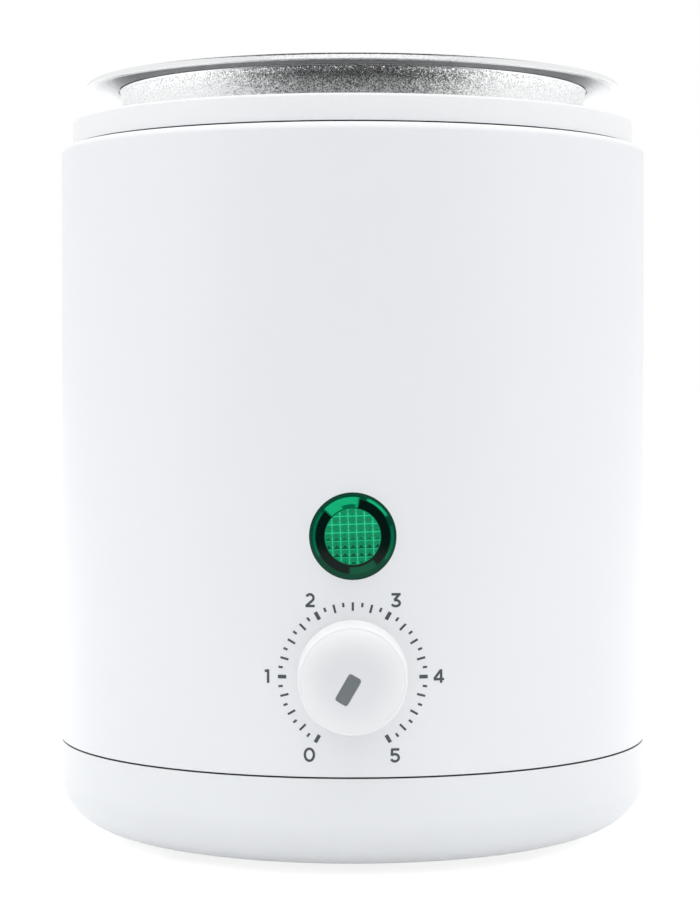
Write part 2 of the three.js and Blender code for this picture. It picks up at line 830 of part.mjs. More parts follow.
// Heat control, in a group whose +Z faces the viewer in front and whose zero is the wall's face
function buildControl() {
  const control = new THREE.Group();
  control.position.set(0, -bodyRadius, controlZ);
  control.rotation.x = Math.PI / 2;
  warmer.add(control);
  const seat = controlSeat - bodyRadius - fitGap;
  const caseFront = seat - bracketSheet - fitGap;
  const caseBack = caseFront - caseDepth;
  add(control, "thermostat_bracket", thermostatBracket(seat), zincSteel);
  const caseForm = plate(roundedRectangle(caseWidth, caseHeight, caseRounding), caseBack, caseFront);
  const well = disc(spindleRadius + fitGap, caseFront - spindleSeat - fitGap, caseFront + cutOverrun);
  add(control, "thermostat_case", cut(caseForm, well), bakelite);
  const washer = ring(bushRadius + fitGap, bushRadius + washerReach, fitGap, fitGap + washerSheet);
  add(control, "control_washer", washer, zincSteel);
  const nutBottom = 2 * fitGap + washerSheet;
  const nut = hexNut(nutFlats, bushRadius + fitGap, nutBottom, nutBottom + nutThickness);
  add(control, "control_nut", nut, brass);
  const spindle = flatSided(spindleRadius, spindleFlat, caseFront - spindleSeat, spindleTop());
  add(control, "control_spindle", spindle, zincSteel);
  add(control, "control_knob", controlKnob(bushRise + 2 * fitGap), knobPlastic);
  const pointerBottom = knobReach - pointerDepth;
  add(control, "knob_pointer", pointerPlate(0, pointerBottom, knobReach - pointerGap), pointerPlastic);
  [-1, 1].forEach((side, i) => {
    const x = (side * caseTabPitch) / 2;
    const tab = block(
      [x - tabSheet / 2, -tabWidth / 2, caseBack - fitGap - tabLength],
      [x + tabSheet / 2, tabWidth / 2, caseBack - fitGap],
    );
    add(control, `thermostat_tab_${i + 1}`, tab, brass);
  });
  return { tabEnd: bodyRadius + caseBack - fitGap - tabLength, caseBack, caseFront };
}

// Pilot lamp, in the same kind of group
function buildLamp() {
  const lamp = new THREE.Group();
  lamp.position.set(0, -bodyRadius, lampZ);
  lamp.rotation.x = Math.PI / 2;
  warmer.add(lamp);
  const rimTop = fitGap + lensRim;
  const lens = turned(
    [
      ...outline([
        [0, rimTop + lensDome - lensFace],
        [holderRadius - holderWall, rimTop - lensFace],
        [holderRadius - holderWall, -lensSkirt],
        [holderRadius, -lensSkirt],
        [holderRadius, fitGap],
        [lensRadius, fitGap],
        [lensRadius, rimTop, lensRounding],
        [0, rimTop],
      ]).slice(0, -1),
      ...domePoints(lensRadius - lensRounding, rimTop, lensDome),
    ],
    knobSides,
  );
  add(lamp, "lamp_lens", lens, greenLens);
  const holderFront = -lensSkirt - fitGap;
  const holderBack = -holderDepth;
  const holder = turned(
    outline([
      [0, holderBack],
      [holderRadius, holderBack, holderWall],
      [holderRadius, holderFront],
      [holderRadius - holderWall, holderFront],
      [holderRadius - holderWall, holderBack + holderWall],
      [0, holderBack + holderWall],
    ]),
    smallSides,
  );
  add(lamp, "lamp_holder", holder, nylon);
  const clipTop = lampSeat - bodyRadius - fitGap;
  const clipInner = holderRadius + fitGap;
  const clip = ring(clipInner, clipInner + lampClipReach, clipTop - lampClipSheet, clipTop);
  add(lamp, "lamp_clip", clip, sheetSteel);
  const neonBottom = holderBack + holderWall + fitGap;
  const neon = turned(
    outline([
      [0, neonBottom],
      [neonRadius, neonBottom],
      [neonRadius, neonBottom + neonLength, neonRadius],
      [0, neonBottom + neonLength],
    ]),
    smallSides,
  );
  add(lamp, "neon_bulb", neon, clearGlass);
  [-1, 1].forEach((side, i) => {
    const x = (side * lampTabPitch) / 2;
    const tab = block(
      [x - tabSheet / 2, -lampTabWidth / 2, holderBack - fitGap - tabLength],
      [x + tabSheet / 2, lampTabWidth / 2, holderBack - fitGap],
    );
    add(lamp, `lamp_tab_${i + 1}`, tab, brass);
  });
  return { tabEnd: bodyRadius + holderBack - fitGap - tabLength };
}

// Places of the screws that go up into the well's floor: two for the bulb, then fuse and earth
function underScrewPlaces() {
  const bulbFoot = clipFootCentre(bulbRadius);
  return [
    [0, -bulbFoot],
    [0, bulbFoot],
    [0, fuseSetback + clipFootCentre(fuseRadius)],
    [0, -earthSetback],
  ];
}

function clipFootCentre(rod) {
  return rod + fitGap + clipSheet + clipFoot / 2;
}

// A bent strip that holds a rod up against the well's floor, in the plane across the rod.
function saddle(rod, feet, width) {
  const inner = rod + fitGap;
  const outer = inner + clipSheet;
  const top = -fitGap;
  const centre = new THREE.Vector2(0, top - rod);
  const foot = outer + clipFoot;
  const farEnd = feet > 1 ? [[-inner, top], [-foot, top], [-foot, top - clipSheet], [-outer, top - clipSheet]]
    : [[-inner, top], [-outer, top]];
  const points = [
    ...outline([[outer, top - clipSheet], [foot, top - clipSheet], [foot, top], [inner, top]]),
    ...arc(centre, [inner, inner], 0, -Math.PI, clipArcSteps),
    ...outline(farEnd),
    ...arc(centre, [outer, outer], -Math.PI, Math.PI, clipArcSteps),
  ];
  const strip = plate(points, -width / 2, width / 2);
  const sides = feet > 1 ? [1, -1] : [1];
  const holes = sides.map((side) =>
    disc(clipShank + fitGap, -foot, cutOverrun)
      .rotateX(-Math.PI / 2)
      .translate(side * clipFootCentre(rod), 0, 0),
  );
  return cut(strip, ...holes).rotateX(Math.PI / 2).rotateZ(Math.PI / 2).translate(0, 0, wellBottom);
}

// Sensor bulb, fuse and earth tag under the well
function buildUnderWell() {
  const bulbZ = wellBottom - fitGap - bulbRadius;
  const bulb = disc(bulbRadius, -bulbLength / 2, bulbLength / 2).rotateY(Math.PI / 2);
  add(warmer, "sensor_bulb", bulb, copper, [0, 0, bulbZ]);
  add(warmer, "bulb_clip", saddle(bulbRadius, 2, clipWidth), zincSteel);
  const fuseZ = wellBottom - fitGap - fuseRadius;
  const fuse = disc(fuseRadius, -fuseLength / 2, fuseLength / 2).rotateY(Math.PI / 2);
  add(warmer, "thermal_fuse", fuse, sheetSteel, [0, fuseSetback, fuseZ]);
  add(warmer, "fuse_clip", saddle(fuseRadius, 1, fuseClipWidth), zincSteel, [0, fuseSetback, 0]);
  const tag = cut(
    plate(roundedRectangle(tagLength, tagWidth, tagWidth / 2), -clipSheet, 0).translate(-tagLength / 4, 0, 0),
    disc(clipShank + fitGap, -cutOverrun, cutOverrun),
  );
  add(warmer, "earth_tag", tag, brass, [0, -earthSetback, wellBottom - fitGap]);
  const screwZ = wellBottom - 2 * fitGap - clipSheet;
  const screw = screwShape(clipHead, clipHeadHeight, clipShank, clipGrip + clipSheet + 2 * fitGap);
  const names = ["bulb_clip_screw_1", "bulb_clip_screw_2", "fuse_clip_screw", "earth_screw"];
  underScrewPlaces().forEach(([x, y], i) => add(warmer, names[i], screw, zincSteel, [x, y, screwZ]));
  return { bulbZ, fuseZ };
}

// Terminal block on its pegs
function buildTerminals() {
  const halfWidth = (blockPitch * blockWays) / 2;
  const body = block(
    [-halfWidth, -blockDepth / 2, blockBottom],
    [halfWidth, blockDepth / 2, blockBottom + blockHeight],
  );
  const grooves = Array.from({ length: blockWays - 1 }, (_, k) => {
    const x = (k + 1 - blockWays / 2) * blockPitch;
    return block(
      [x - fitGap, -blockDepth, blockBottom + (blockHeight * 2) / 3],
      [x + fitGap, blockDepth, blockBottom + blockHeight + cutOverrun],
    );
  });
  const holes = blockPegPlaces().map(({ x }) =>
    disc(blockShank + fitGap, blockBottom - cutOverrun, blockBottom + blockHeight + cutOverrun)
      .translate(x, 0, 0),
  );
  add(warmer, "terminal_block", cut(body, ...grooves, ...holes), nylon);
  const length = blockHeight + 2 * fitGap + pegHeight - fitGap;
  const screw = screwShape(blockHead, blockHeadHeight, blockShank, length).rotateX(Math.PI);
  const top = blockBottom + blockHeight + fitGap;
  blockPegPlaces().forEach(({ x }, i) =>
    add(warmer, `terminal_block_screw_${i + 1}`, screw, zincSteel, [x, 0, top]),
  );
}

// Cord gland through the rear wall, with its lock nut inside
function buildGland() {
  const gland = new THREE.Group();
  gland.position.set(0, 0, glandZ);
  gland.rotation.x = -Math.PI / 2;
  warmer.add(gland);
  const nutTop = glandSeat - fitGap;
  const tailEnd = nutTop - glandNutThickness - glandTail;
  const head = glandFace + fitGap;
  const shape = turned(
    outline([
      [glandBore, tailEnd],
      [glandThread, tailEnd],
      [glandThread, head],
      [glandFlange, head],
      [glandFlange, head + glandFlangeThickness, glandFlangeThickness / 4],
      [glandNose, head + glandFlangeThickness],
      [glandNose - glandFlangeThickness / 2, glandHeadTop, glandFlangeThickness / 2],
      [glandBore, glandHeadTop, glandFlangeThickness / 4],
    ]),
    knobSides,
  );
  add(gland, "cord_gland", shape, bakelite);
  const nut = hexNut(glandNutFlats, glandThread + fitGap, nutTop - glandNutThickness, nutTop);
  add(gland, "gland_nut", nut, bakelite);
}

// A wire from one end to the other, leaving each end along its own direction.
function wire(name, from, leaving, to, arriving, radius, material) {
  const start = new THREE.Vector3(...from);
  const end = new THREE.Vector3(...to);
  const curve = new THREE.CubicBezierCurve3(
    start,
    start.clone().add(new THREE.Vector3(...leaving)),
    end.clone().add(new THREE.Vector3(...arriving)),
    end,
  );
  add(warmer, name, tube(curve, radius), material);
}

function buildWires(control, lamp, under) {
  const way = (k) => [
    (k + 1 / 2 - blockWays / 2) * blockPitch,
    -blockDepth / 2 - fitGap,
    blockBottom + blockHeight / 3,
  ];
  const intoBlock = [0, -wirePull, 0];
  const inward = [0, wirePull, 0];
  const caseTab = (side) => [(side * caseTabPitch) / 2, fitGap - control.tabEnd, controlZ];
  const lampTab = (side) => [(side * lampTabPitch) / 2, fitGap - lamp.tabEnd, lampZ];
  const leadAngle = degrees(heaterLeadFromSide);
  const bandLead = (side) => [
    side * bandOuter * Math.cos(leadAngle),
    bandOuter * Math.sin(leadAngle),
    bandBottom - fitGap,
  ];
  const fuseEnd = (side) => [side * (fuseLength / 2 + fitGap), fuseSetback, under.fuseZ];
  const tagEnd = [-(tagLength * 3) / 4 - fitGap, -earthSetback, wellBottom - fitGap - wireRadius];
  const tabTop = [
    caseTabPitch / 2,
    tabLength / 2 - control.tabEnd - tabLength,
    controlZ + tabWidth / 2 + fitGap,
  ];
  const w = wireRadius;
  wire("earth_wire", way(0), intoBlock, tagEnd, [-wirePull, 0, 0], w, wireSkins.earth);
  wire("live_wire", way(1), intoBlock, caseTab(-1), inward, w, wireSkins.live);
  wire("lamp_neutral_wire", way(2), intoBlock, lampTab(-1), inward, w, wireSkins.neutral);
  wire("neutral_wire", way(3), [0, -longPull / 2, 0], bandLead(1),
    [0, 0, -longPull], w, wireSkins.neutral);
  wire("lamp_live_wire", lampTab(1), [0, shortPull, 0], tabTop, [0, 0, shortPull], w, wireSkins.live);
  wire("fuse_wire", caseTab(1), inward, fuseEnd(1), [wirePull, 0, 0], w, wireSkins.heat);
  wire("heater_wire", fuseEnd(-1), [-wirePull, 0, 0], bandLead(-1),
    [0, 0, -longPull], w, wireSkins.heat);
  const bulbEnd = [-bulbLength / 2 - fitGap, 0, under.bulbZ];
  const caseTop = [
    -caseWidth / 4,
    -bodyRadius - (control.caseFront + control.caseBack) / 2,
    controlZ + caseHeight / 2 + fitGap,
  ];
  wire("capillary_tube", bulbEnd, [-wirePull, 0, 0], caseTop, [0, 0, shortPull], capillaryRadius, copper);
}

buildHousing();
buildHeating();
const control = buildControl();
const lamp = buildLamp();
buildGland();
buildTerminals();
buildWires(control, lamp, buildUnderWell());

// The knob reaches out in front and the gland behind: the middle of the two stands on Y = 0.
warmer.position.y = (bodyRadius + knobReach - glandHeadTop) / 2;

const part = new THREE.Group();
part.add(warmer);

export default part;
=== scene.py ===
# %% [markdown]
# # A wax warmer
# The CAD model holds every piece of this warmer at its real size. This notebook gives the pieces
# their looks: the white mouldings, the spun pot in its cast well, the knob with its printed dial
# and the green pilot lamp. A piece could be made by pushing vertices about by hand, but nearly
# everything here was turned, moulded or pressed in a factory. So each shape is written the way
# its drawing would be, as a profile that is turned or an outline that is pushed through.

# %% Load the frame
import json
import math

import bmesh
import bpy
import numpy as np
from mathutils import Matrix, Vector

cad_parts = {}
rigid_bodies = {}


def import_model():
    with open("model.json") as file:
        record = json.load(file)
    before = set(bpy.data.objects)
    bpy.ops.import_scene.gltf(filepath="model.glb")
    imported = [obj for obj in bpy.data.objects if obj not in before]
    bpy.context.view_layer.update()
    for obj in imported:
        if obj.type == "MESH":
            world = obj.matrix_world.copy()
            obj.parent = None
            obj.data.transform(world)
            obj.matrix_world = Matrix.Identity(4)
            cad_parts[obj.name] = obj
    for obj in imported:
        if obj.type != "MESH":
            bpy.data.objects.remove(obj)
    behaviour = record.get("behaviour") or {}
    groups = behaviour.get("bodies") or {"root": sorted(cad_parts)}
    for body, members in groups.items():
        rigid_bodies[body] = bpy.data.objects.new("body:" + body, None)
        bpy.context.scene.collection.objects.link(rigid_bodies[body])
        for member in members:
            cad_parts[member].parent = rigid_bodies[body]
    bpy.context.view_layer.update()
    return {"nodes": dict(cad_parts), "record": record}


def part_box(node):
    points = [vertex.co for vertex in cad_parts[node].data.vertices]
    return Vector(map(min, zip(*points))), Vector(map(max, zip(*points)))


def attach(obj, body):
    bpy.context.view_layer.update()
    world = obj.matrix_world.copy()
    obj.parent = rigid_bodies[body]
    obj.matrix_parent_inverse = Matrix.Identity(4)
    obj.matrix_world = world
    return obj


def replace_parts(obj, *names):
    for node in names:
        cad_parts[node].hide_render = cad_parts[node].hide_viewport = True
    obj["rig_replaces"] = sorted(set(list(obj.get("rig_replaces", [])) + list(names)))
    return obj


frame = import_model()

# %% [markdown]
# ## Measuring the CAD model
# Everything is worked out in millimetres from the upright axis of the round body, because that
# is how the drawing of a turned part is read. Radii and heights come from the boxes of the CAD
# nodes, and the scene stays right if the CAD model changes.

# %% Measure the round body
MM = 0.001
fit_gap = 0.3
well_low, well_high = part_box("heating_well")
axis_y = (well_low.y + well_high.y) / 2 / MM


def span(node):
    """Lowest and highest corner of a CAD node, in millimetres from the body's axis."""
    return [np.array(corner) / MM - (0, axis_y, 0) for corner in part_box(node)]


def centre(node):
    """Middle of a CAD node's box, in millimetres from the body's axis."""
    return sum(span(node)) / 2


body_low, body_high = span("body_shell")
body_radius = body_high[0]
body_bottom, body_top = body_low[2], body_high[2]
print("body radius", round(body_radius, 2), "from", round(body_bottom, 2), "to", round(body_top, 2))

# %% [markdown]
# ## The camera
# A product photo like this one is taken level, at about half the height of the object, with a
# long lens. The lens is given by its focal length in pixels, worked out from how far apart the
# ellipses of the two seams lie. The frame is shifted down instead of tilting the camera, so the
# upright sides stay upright.

# %% Place the camera
image_width, image_height = 700, 904
focal_pixels = 2410
eye_distance = 500.6
eye_height = 91.5
axis_column = 352.8
horizon_row = 385.96
sensor = 36

lens = bpy.data.cameras.new("camera")
lens.sensor_width = sensor
lens.lens = focal_pixels * sensor / image_height
lens.shift_x = (image_width / 2 - axis_column) / image_height
lens.shift_y = (horizon_row - image_height / 2) / image_height
camera = bpy.data.objects.new("camera", lens)
camera.location = (0, (axis_y - eye_distance) * MM, eye_height * MM)
camera.rotation_euler = (math.pi / 2, 0, 0)
bpy.context.scene.collection.objects.link(camera)
bpy.context.scene.camera = camera
print("lens", round(lens.lens, 2), "shift", round(lens.shift_x, 4), round(lens.shift_y, 4))

# %% [markdown]
# ## Outlines with rounded corners
# A moulding never has a knife edge: every corner has a small radius, and that radius is what
# catches the light. A bevel modifier could add it, but a profile that already holds its radii
# stays exact. Each corner is written as across, up and rounding. Points are added close beside
# each arc, so that the smooth shading of the arc doesn't leak into the flat faces next to it.

# %% Draw outlines
arc_step = 0.12
fewest_steps, most_steps = 5, 18
ease = 0.12
longest_step = 5.0


def arc(middle, radii, start, turn, steps):
    """Points on an ellipse: middle + radii * (cos t, sin t), with t from start through turn."""
    angles = start + turn * np.linspace(0, 1, steps + 1)
    return np.array(middle) + np.array(radii) * np.stack([np.cos(angles), np.sin(angles)], 1)


def rounded_corner(here, before, after, rounding):
    """The arc that touches both sides of a corner, with a point just outside each of its ends."""
    back = (before - here) / np.linalg.norm(before - here)
    ahead = (after - here) / np.linalg.norm(after - here)
    half = math.acos(np.clip(back @ ahead, -1, 1)) / 2
    setback = rounding / math.tan(half)
    inward = (back + ahead) / np.linalg.norm(back + ahead)
    middle = here + inward * rounding / math.sin(half)
    first = here + back * setback - middle
    last = here + ahead * setback - middle
    turn = math.atan2(first[0] * last[1] - first[1] * last[0], first @ last)
    steps = int(np.clip(abs(turn) * rounding / arc_step, fewest_steps, most_steps))
    bend = arc(middle, (rounding, rounding), math.atan2(first[1], first[0]), turn, steps)
    room = min(np.linalg.norm(before - here), np.linalg.norm(after - here)) - setback
    aside = min(ease, rounding / 2, max(room, 0) / 3)
    return np.vstack([bend[:1] + back * aside, bend, bend[-1:] + ahead * aside])


def rounded(corners):
    """Joins [across, up, rounding] corners by straight lines, with an arc where one is rounded."""
    flat = [np.array(corner[:2], float) for corner in corners]
    runs = []
    for i, corner in enumerate(corners):
        before, after = flat[i - 1], flat[(i + 1) % len(flat)]
        if len(corner) > 2:
            runs.append(rounded_corner(flat[i], before, after, corner[2]))
        else:
            runs.append(flat[i][None])
    return np.vstack(runs)


def with_short_steps(points):
    """Splits long straight stretches evenly, which keeps the faces of a turned wall short."""
    runs = []
    for start, end in zip(points[:-1], points[1:]):
        count = max(1, math.ceil(np.linalg.norm(end - start) / longest_step))
        runs.append(start + (end - start) * np.arange(count)[:, None] / count)
    return np.vstack([*runs, points[-1:]])


print("a rounded corner has", len(rounded([[0, 0], [9, 0, 1], [9, 9], [0, 9]])) - 3, "points")

# %% [markdown]
# ## Turned and pushed shapes
# A lathe, a spinning chuck or a round mould makes a surface of revolution. The Screw modifier
# could spin an edge, but as a formula it is one grid of numbers: the radius times the cosine and
# sine of an angle, and the height. An outline pushed through a thickness is the other basic
# shape. Both come back as points and faces, so they can be moved before they become a mesh.

# %% Shape makers
fine_sides, round_sides, small_sides, tiny_sides = 240, 120, 64, 32


def area(outline):
    """Signed area inside an outline: above zero where it runs anticlockwise."""
    x, y = outline.T
    return float(x @ np.roll(y, -1) - y @ np.roll(x, -1)) / 2


def grid_faces(rows, columns, closed_rows):
    """Four-sided faces of a grid that wraps along its columns, and along its rows if closed."""
    row = np.arange(rows if closed_rows else rows - 1)[:, None]
    column = np.arange(columns)[None]
    above, beside = (row + 1) % rows, (column + 1) % columns
    corners = [row * columns + column, row * columns + beside]
    corners += [above * columns + beside, above * columns + column]
    return np.stack([c + 0 * row for c in corners], 2).reshape(-1, 4).tolist()


def turned(profile, sides=fine_sides):
    """Spins a profile of (radius, height): x = r cos a, y = r sin a, z = h, for each angle a."""
    profile = np.array(profile, float)
    profile = profile[::-1] if area(profile) < 0 else profile
    on_axis = min(profile[0, 0], profile[-1, 0]) == 0
    profile = profile if on_axis else np.vstack([profile, profile[:1]])
    profile = with_short_steps(profile)
    profile = profile if on_axis else profile[:-1]
    angles = 2 * math.pi * np.arange(sides) / sides
    radius, height = profile[:, :1], profile[:, 1:]
    points = [radius * np.cos(angles), radius * np.sin(angles), height + 0 * angles]
    return np.stack(points, 2).reshape(-1, 3), grid_faces(len(profile), sides, not on_axis)


def pushed(outline, bottom, top):
    """Pushes a flat outline from the bottom to the top height, with a flat face at each end."""
    outline = outline[::-1] if area(outline) < 0 else outline
    count = len(outline)
    levels = [np.column_stack([outline, np.full(count, z)]) for z in (bottom, top)]
    ends = [list(range(count))[::-1], list(range(count, 2 * count))]
    return np.vstack(levels), grid_faces(2, count, False) + ends


def disc(radius, bottom, top, sides=small_sides):
    """A plain round bar."""
    return turned([[0, bottom], [radius, bottom], [radius, top], [0, top]], sides)


def moved(shape, x=0.0, y=0.0, z=0.0, turn=0.0):
    """Turns a shape about Z by an angle, and then moves it."""
    points, faces = shape
    c, s = math.cos(turn), math.sin(turn)
    spin = np.array([[c, s, 0], [-s, c, 0], [0, 0, 1]])
    return points @ spin + (x, y, z), faces


def bars(places, radius, bottom, top, sides=tiny_sides):
    """A round bar at each place, to drill a hole or to join a post there."""
    return [moved(disc(radius, bottom, top, sides), *place) for place in places]


def to_front(shape, height):
    """Stands a shape up on the front wall: its Z then faces the user, and zero is the wall."""
    (x, y, z), faces = shape[0].T, shape[1]
    return np.column_stack([x, -body_radius - z, height + y]), faces


def to_rear(shape, height):
    """Stands a shape up at the rear: its Z then points backwards from the body's axis."""
    (x, y, z), faces = shape[0].T, shape[1]
    return np.column_stack([x, z, height - y]), faces


print("a turned cup has", len(turned(rounded([[0, 0], [9, 0, 1], [9, 9, 1], [0, 9]]))[1]), "faces")

# %% [markdown]
# ## From shape to piece
# Each finished piece is one closed mesh whose object stays at the origin. It rides on a CAD body,
# takes the finish it is given and may stand for a CAD node. Where profiles meet the
# axis or themselves, the doubled points are merged, so that the skin is closed.

# %% Piece makers
merge_distance = 1e-8
sharp_angle = math.radians(32)
dressed = []


def mesh_of(name, shape):
    """A mesh in metres from points in millimetres and faces, with its doubles merged."""
    points, faces = shape
    mesh = bpy.data.meshes.new(name)
    mesh.from_pydata((points + (0, axis_y, 0)) * MM, [], faces)
    work = bmesh.new()
    work.from_mesh(mesh)
    bmesh.ops.remove_doubles(work, verts=work.verts, dist=merge_distance)
    work.to_mesh(mesh)
    work.free()
    return mesh


def new_piece(name, shape, body, material, replaces=()):
    """Makes a piece of the warmer that rides on a body and may stand for CAD nodes."""
    piece = bpy.data.objects.new(name, mesh_of(name, shape))
    bpy.context.scene.collection.objects.link(piece)
    piece.data.materials.append(material)
    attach(piece, body)
    if replaces:
        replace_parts(piece, *replaces)
    smooth(piece)
    dressed.append(piece)
    return piece


def smooth(piece):
    """Shades a piece smoothly, with a sharp edge where two faces meet at more than an angle."""
    piece.data.shade_smooth()
    piece.data.set_sharp_from_angle(angle=sharp_angle)


def carve(piece, shapes, operation="DIFFERENCE"):
    """Cuts shapes out of a piece, or joins them to it, and keeps the result as its mesh."""
    tools = bpy.data.collections.new("tools")
    bpy.context.scene.collection.children.link(tools)
    for shape in shapes:
        tools.objects.link(bpy.data.objects.new("tool", mesh_of("tool", shape)))
    boolean = piece.modifiers.new("boolean", "BOOLEAN")
    boolean.operand_type = "COLLECTION"
    boolean.collection = tools
    boolean.operation = operation
    boolean.solver = "MANIFOLD"
    bpy.context.view_layer.update()
    graph = bpy.context.evaluated_depsgraph_get()
    result = bpy.data.meshes.new_from_object(piece.evaluated_get(graph))
    piece.modifiers.clear()
    piece.data = result
    for tool in list(tools.objects):
        bpy.data.objects.remove(tool)
    bpy.data.collections.remove(tools)
    smooth(piece)
    return piece


def report(piece):
    """Prints how many faces a piece has and the size of its box in millimetres."""
    size = [round(side / MM, 2) for side in piece.dimensions]
    print(piece.name, "faces", len(piece.data.polygons), "size", size)


# %% [markdown]
# ## Shader maths as Python
# A procedural material is a small calculation that is done again at each point of a surface.
# Wired by hand it becomes a web of Math nodes. Here a class wraps a socket and overloads the
# usual operators, so that an expression adds its own nodes and reads like the formula it is.

# %% Fields and paint
class Field:
    """A number that changes over a surface. Sums and products of fields add Math nodes."""

    def __init__(self, paint, socket):
        self.paint = paint
        self.socket = socket

    def maths(self, operation, *values):
        made = self.paint.node("ShaderNodeMath", {"operation": operation}, dict(enumerate(values)))
        return Field(self.paint, made.outputs[0])

    def __add__(self, other):
        return self.maths("ADD", self, other)

    def __sub__(self, other):
        return self.maths("SUBTRACT", self, other)

    def __mul__(self, other):
        return self.maths("MULTIPLY", self, other)

    def __truediv__(self, other):
        return self.maths("DIVIDE", self, other)

    def __rsub__(self, other):
        return self.maths("SUBTRACT", other, self)

    __radd__ = __add__
    __rmul__ = __mul__

    def __abs__(self):
        return self.maths("ABSOLUTE", self)

    def root(self):
        return self.maths("SQRT", self)

    def most(self, other):
        """The larger of two fields."""
        return self.maths("MAXIMUM", self, other)

    def wrapped(self, length):
        """The remainder after whole lengths, from zero up to the length."""
        return self.maths("FLOORED_MODULO", self, length)

    def ramp(self, low, high):
        """A soft step: zero below low, one above high, with a smooth rise between them."""
        settings = {"interpolation_type": "SMOOTHSTEP"}
        inputs = {"Value": self, "From Min": low, "From Max": high}
        made = self.paint.node("ShaderNodeMapRange", settings, inputs)
        return Field(self.paint, made.outputs[0])

    def within(self, low, high, blur):
        """One between low and high and zero outside, with edges that are softened by blur."""
        return self.ramp(low - blur, low + blur) * (1 - self.ramp(high - blur, high + blur))


class Paint:
    """The node tree of a material or of the world, with one way to add any node."""

    def __init__(self, owner):
        owner.use_nodes = True
        self.tree = owner.node_tree
        self.tree.nodes.clear()

    def node(self, kind, settings=None, inputs=None):
        """Adds a node: first its settings, and then the values or links of its sockets."""
        made = self.tree.nodes.new(kind)
        for name, value in (settings or {}).items():
            setattr(made, name, value)
        for key, value in (inputs or {}).items():
            self.feed(made.inputs[key], value)
        return made

    def feed(self, socket, value):
        value = value.socket if isinstance(value, Field) else value
        if isinstance(value, bpy.types.NodeSocket):
            self.tree.links.new(value, socket)
        else:
            socket.default_value = value

    def place(self):
        """The point's place in millimetres from the body's axis, as a vector socket."""
        point = self.node("ShaderNodeTexCoord").outputs["Object"]
        settings = {"vector_type": "POINT"}
        inputs = {"Vector": point, "Location": (0, -axis_y, 0), "Scale": (1 / MM,) * 3}
        return self.node("ShaderNodeMapping", settings, inputs).outputs[0]

    def parts(self, vector):
        """The three numbers of a vector as fields."""
        split = self.node("ShaderNodeSeparateXYZ", {}, {0: vector})
        return [Field(self, socket) for socket in split.outputs]

    def vector(self, x, y, z):
        return self.node("ShaderNodeCombineXYZ", {}, {0: x, 1: y, 2: z}).outputs[0]

    def noise(self, vector, per_mm, detail=2.0, roughness=0.5):
        """Smooth random values from about 0 to 1, with so many features to the millimetre."""
        inputs = {"Vector": vector, "Scale": per_mm, "Detail": detail, "Roughness": roughness}
        made = self.node("ShaderNodeTexNoise", {"noise_dimensions": "3D"}, inputs)
        return Field(self, made.outputs[0])

    def grains(self, vector, per_mm):
        """Three random values from 0 to 1 for each grain of a packed pattern, as one vector."""
        inputs = {"Vector": vector, "Scale": per_mm}
        return self.node("ShaderNodeTexVoronoi", {"feature": "F1"}, inputs).outputs["Color"]

    def vectors(self, operation, inputs):
        """Vector maths, such as the sum of two directions."""
        return self.node("ShaderNodeVectorMath", {"operation": operation}, inputs).outputs[0]

    def leaning(self, normal, tilt, share):
        """The normal plus a share of the tilt, brought back to unit length."""
        scaled = self.vectors("SCALE", {0: tilt, "Scale": share})
        return self.vectors("NORMALIZE", {0: self.vectors("ADD", {0: normal, 1: scaled})})

    def blend(self, share, first, second):
        """The first colour where share is zero and the second where it is one."""
        inputs = {0: share, 6: opaque(first), 7: opaque(second)}
        made = self.node("ShaderNodeMix", {"data_type": "RGBA"}, inputs)
        return made.outputs[2]

    def bump(self, height, depth, under=None):
        """Normals of a surface that rises by depth, in millimetres, where height is one."""
        inputs = {"Height": height, "Distance": depth * MM, "Strength": 1.0}
        if under is not None:
            inputs["Normal"] = under
        return self.node("ShaderNodeBump", {}, inputs).outputs[0]


def opaque(colour):
    """A colour with its alpha, or a socket as it is."""
    return colour if isinstance(colour, bpy.types.NodeSocket) else (*colour, 1.0)


def from_axis(across, up):
    """A point's distance from an axis: the root of the sum of two squares."""
    return (across * across + up * up).root()


def finish(name, describe):
    """A material whose surface is one Principled shader, with the inputs that describe gives."""
    material = bpy.data.materials.new(name)
    paint = Paint(material)
    shader = paint.node("ShaderNodeBsdfPrincipled", {}, describe(paint))
    paint.node("ShaderNodeOutputMaterial", {}, {"Surface": shader.outputs[0]})
    return material


# %% [markdown]
# ## White plastic
# The housing is moulded in a white plastic with a satin skin. One flat grey would look like
# paper. A real moulding has a slight cloudiness in its colour, small changes in its gloss and a
# very shallow orange peel, and those three come from noise at three scales.

# %% Moulded plastic
cloud_scale, gloss_scale, peel_scale = 0.03, 0.2, 0.7
gloss_swing, peel_detail = 0.06, 1.0
seam_blur, seam_fade = 0.01, 0.1
seam_dark = (0.03, 0.032, 0.034)


def moulded(colour, shade, roughness, peel, seams=()):
    """Describes a moulded plastic: a cloudy colour, a little uneven gloss, shallow orange peel.

    Each seam is a low height, a high height and a radius. The plastic inside it is near black,
    as a narrow gap is where hardly any light gets in or out."""

    def describe(paint):
        place = paint.place()
        cloud = paint.noise(place, cloud_scale)
        gloss = paint.noise(place, gloss_scale) - 0.5
        skin = paint.noise(place, peel_scale, peel_detail)
        tone = paint.blend(cloud, colour, shade)
        if seams:
            x, y, z = paint.parts(place)
            radius = from_axis(x, y)
        for low, high, reach in seams:
            hidden = z.within(low, high, seam_blur) * (1 - radius.ramp(reach - seam_fade, reach))
            tone = paint.blend(hidden, tone, seam_dark)
        return {
            "Base Color": tone,
            "Roughness": roughness + gloss * gloss_swing,
            "Normal": paint.bump(skin, peel),
        }

    return describe


print("a moulding's gloss swings by", gloss_swing / 2, "either way")

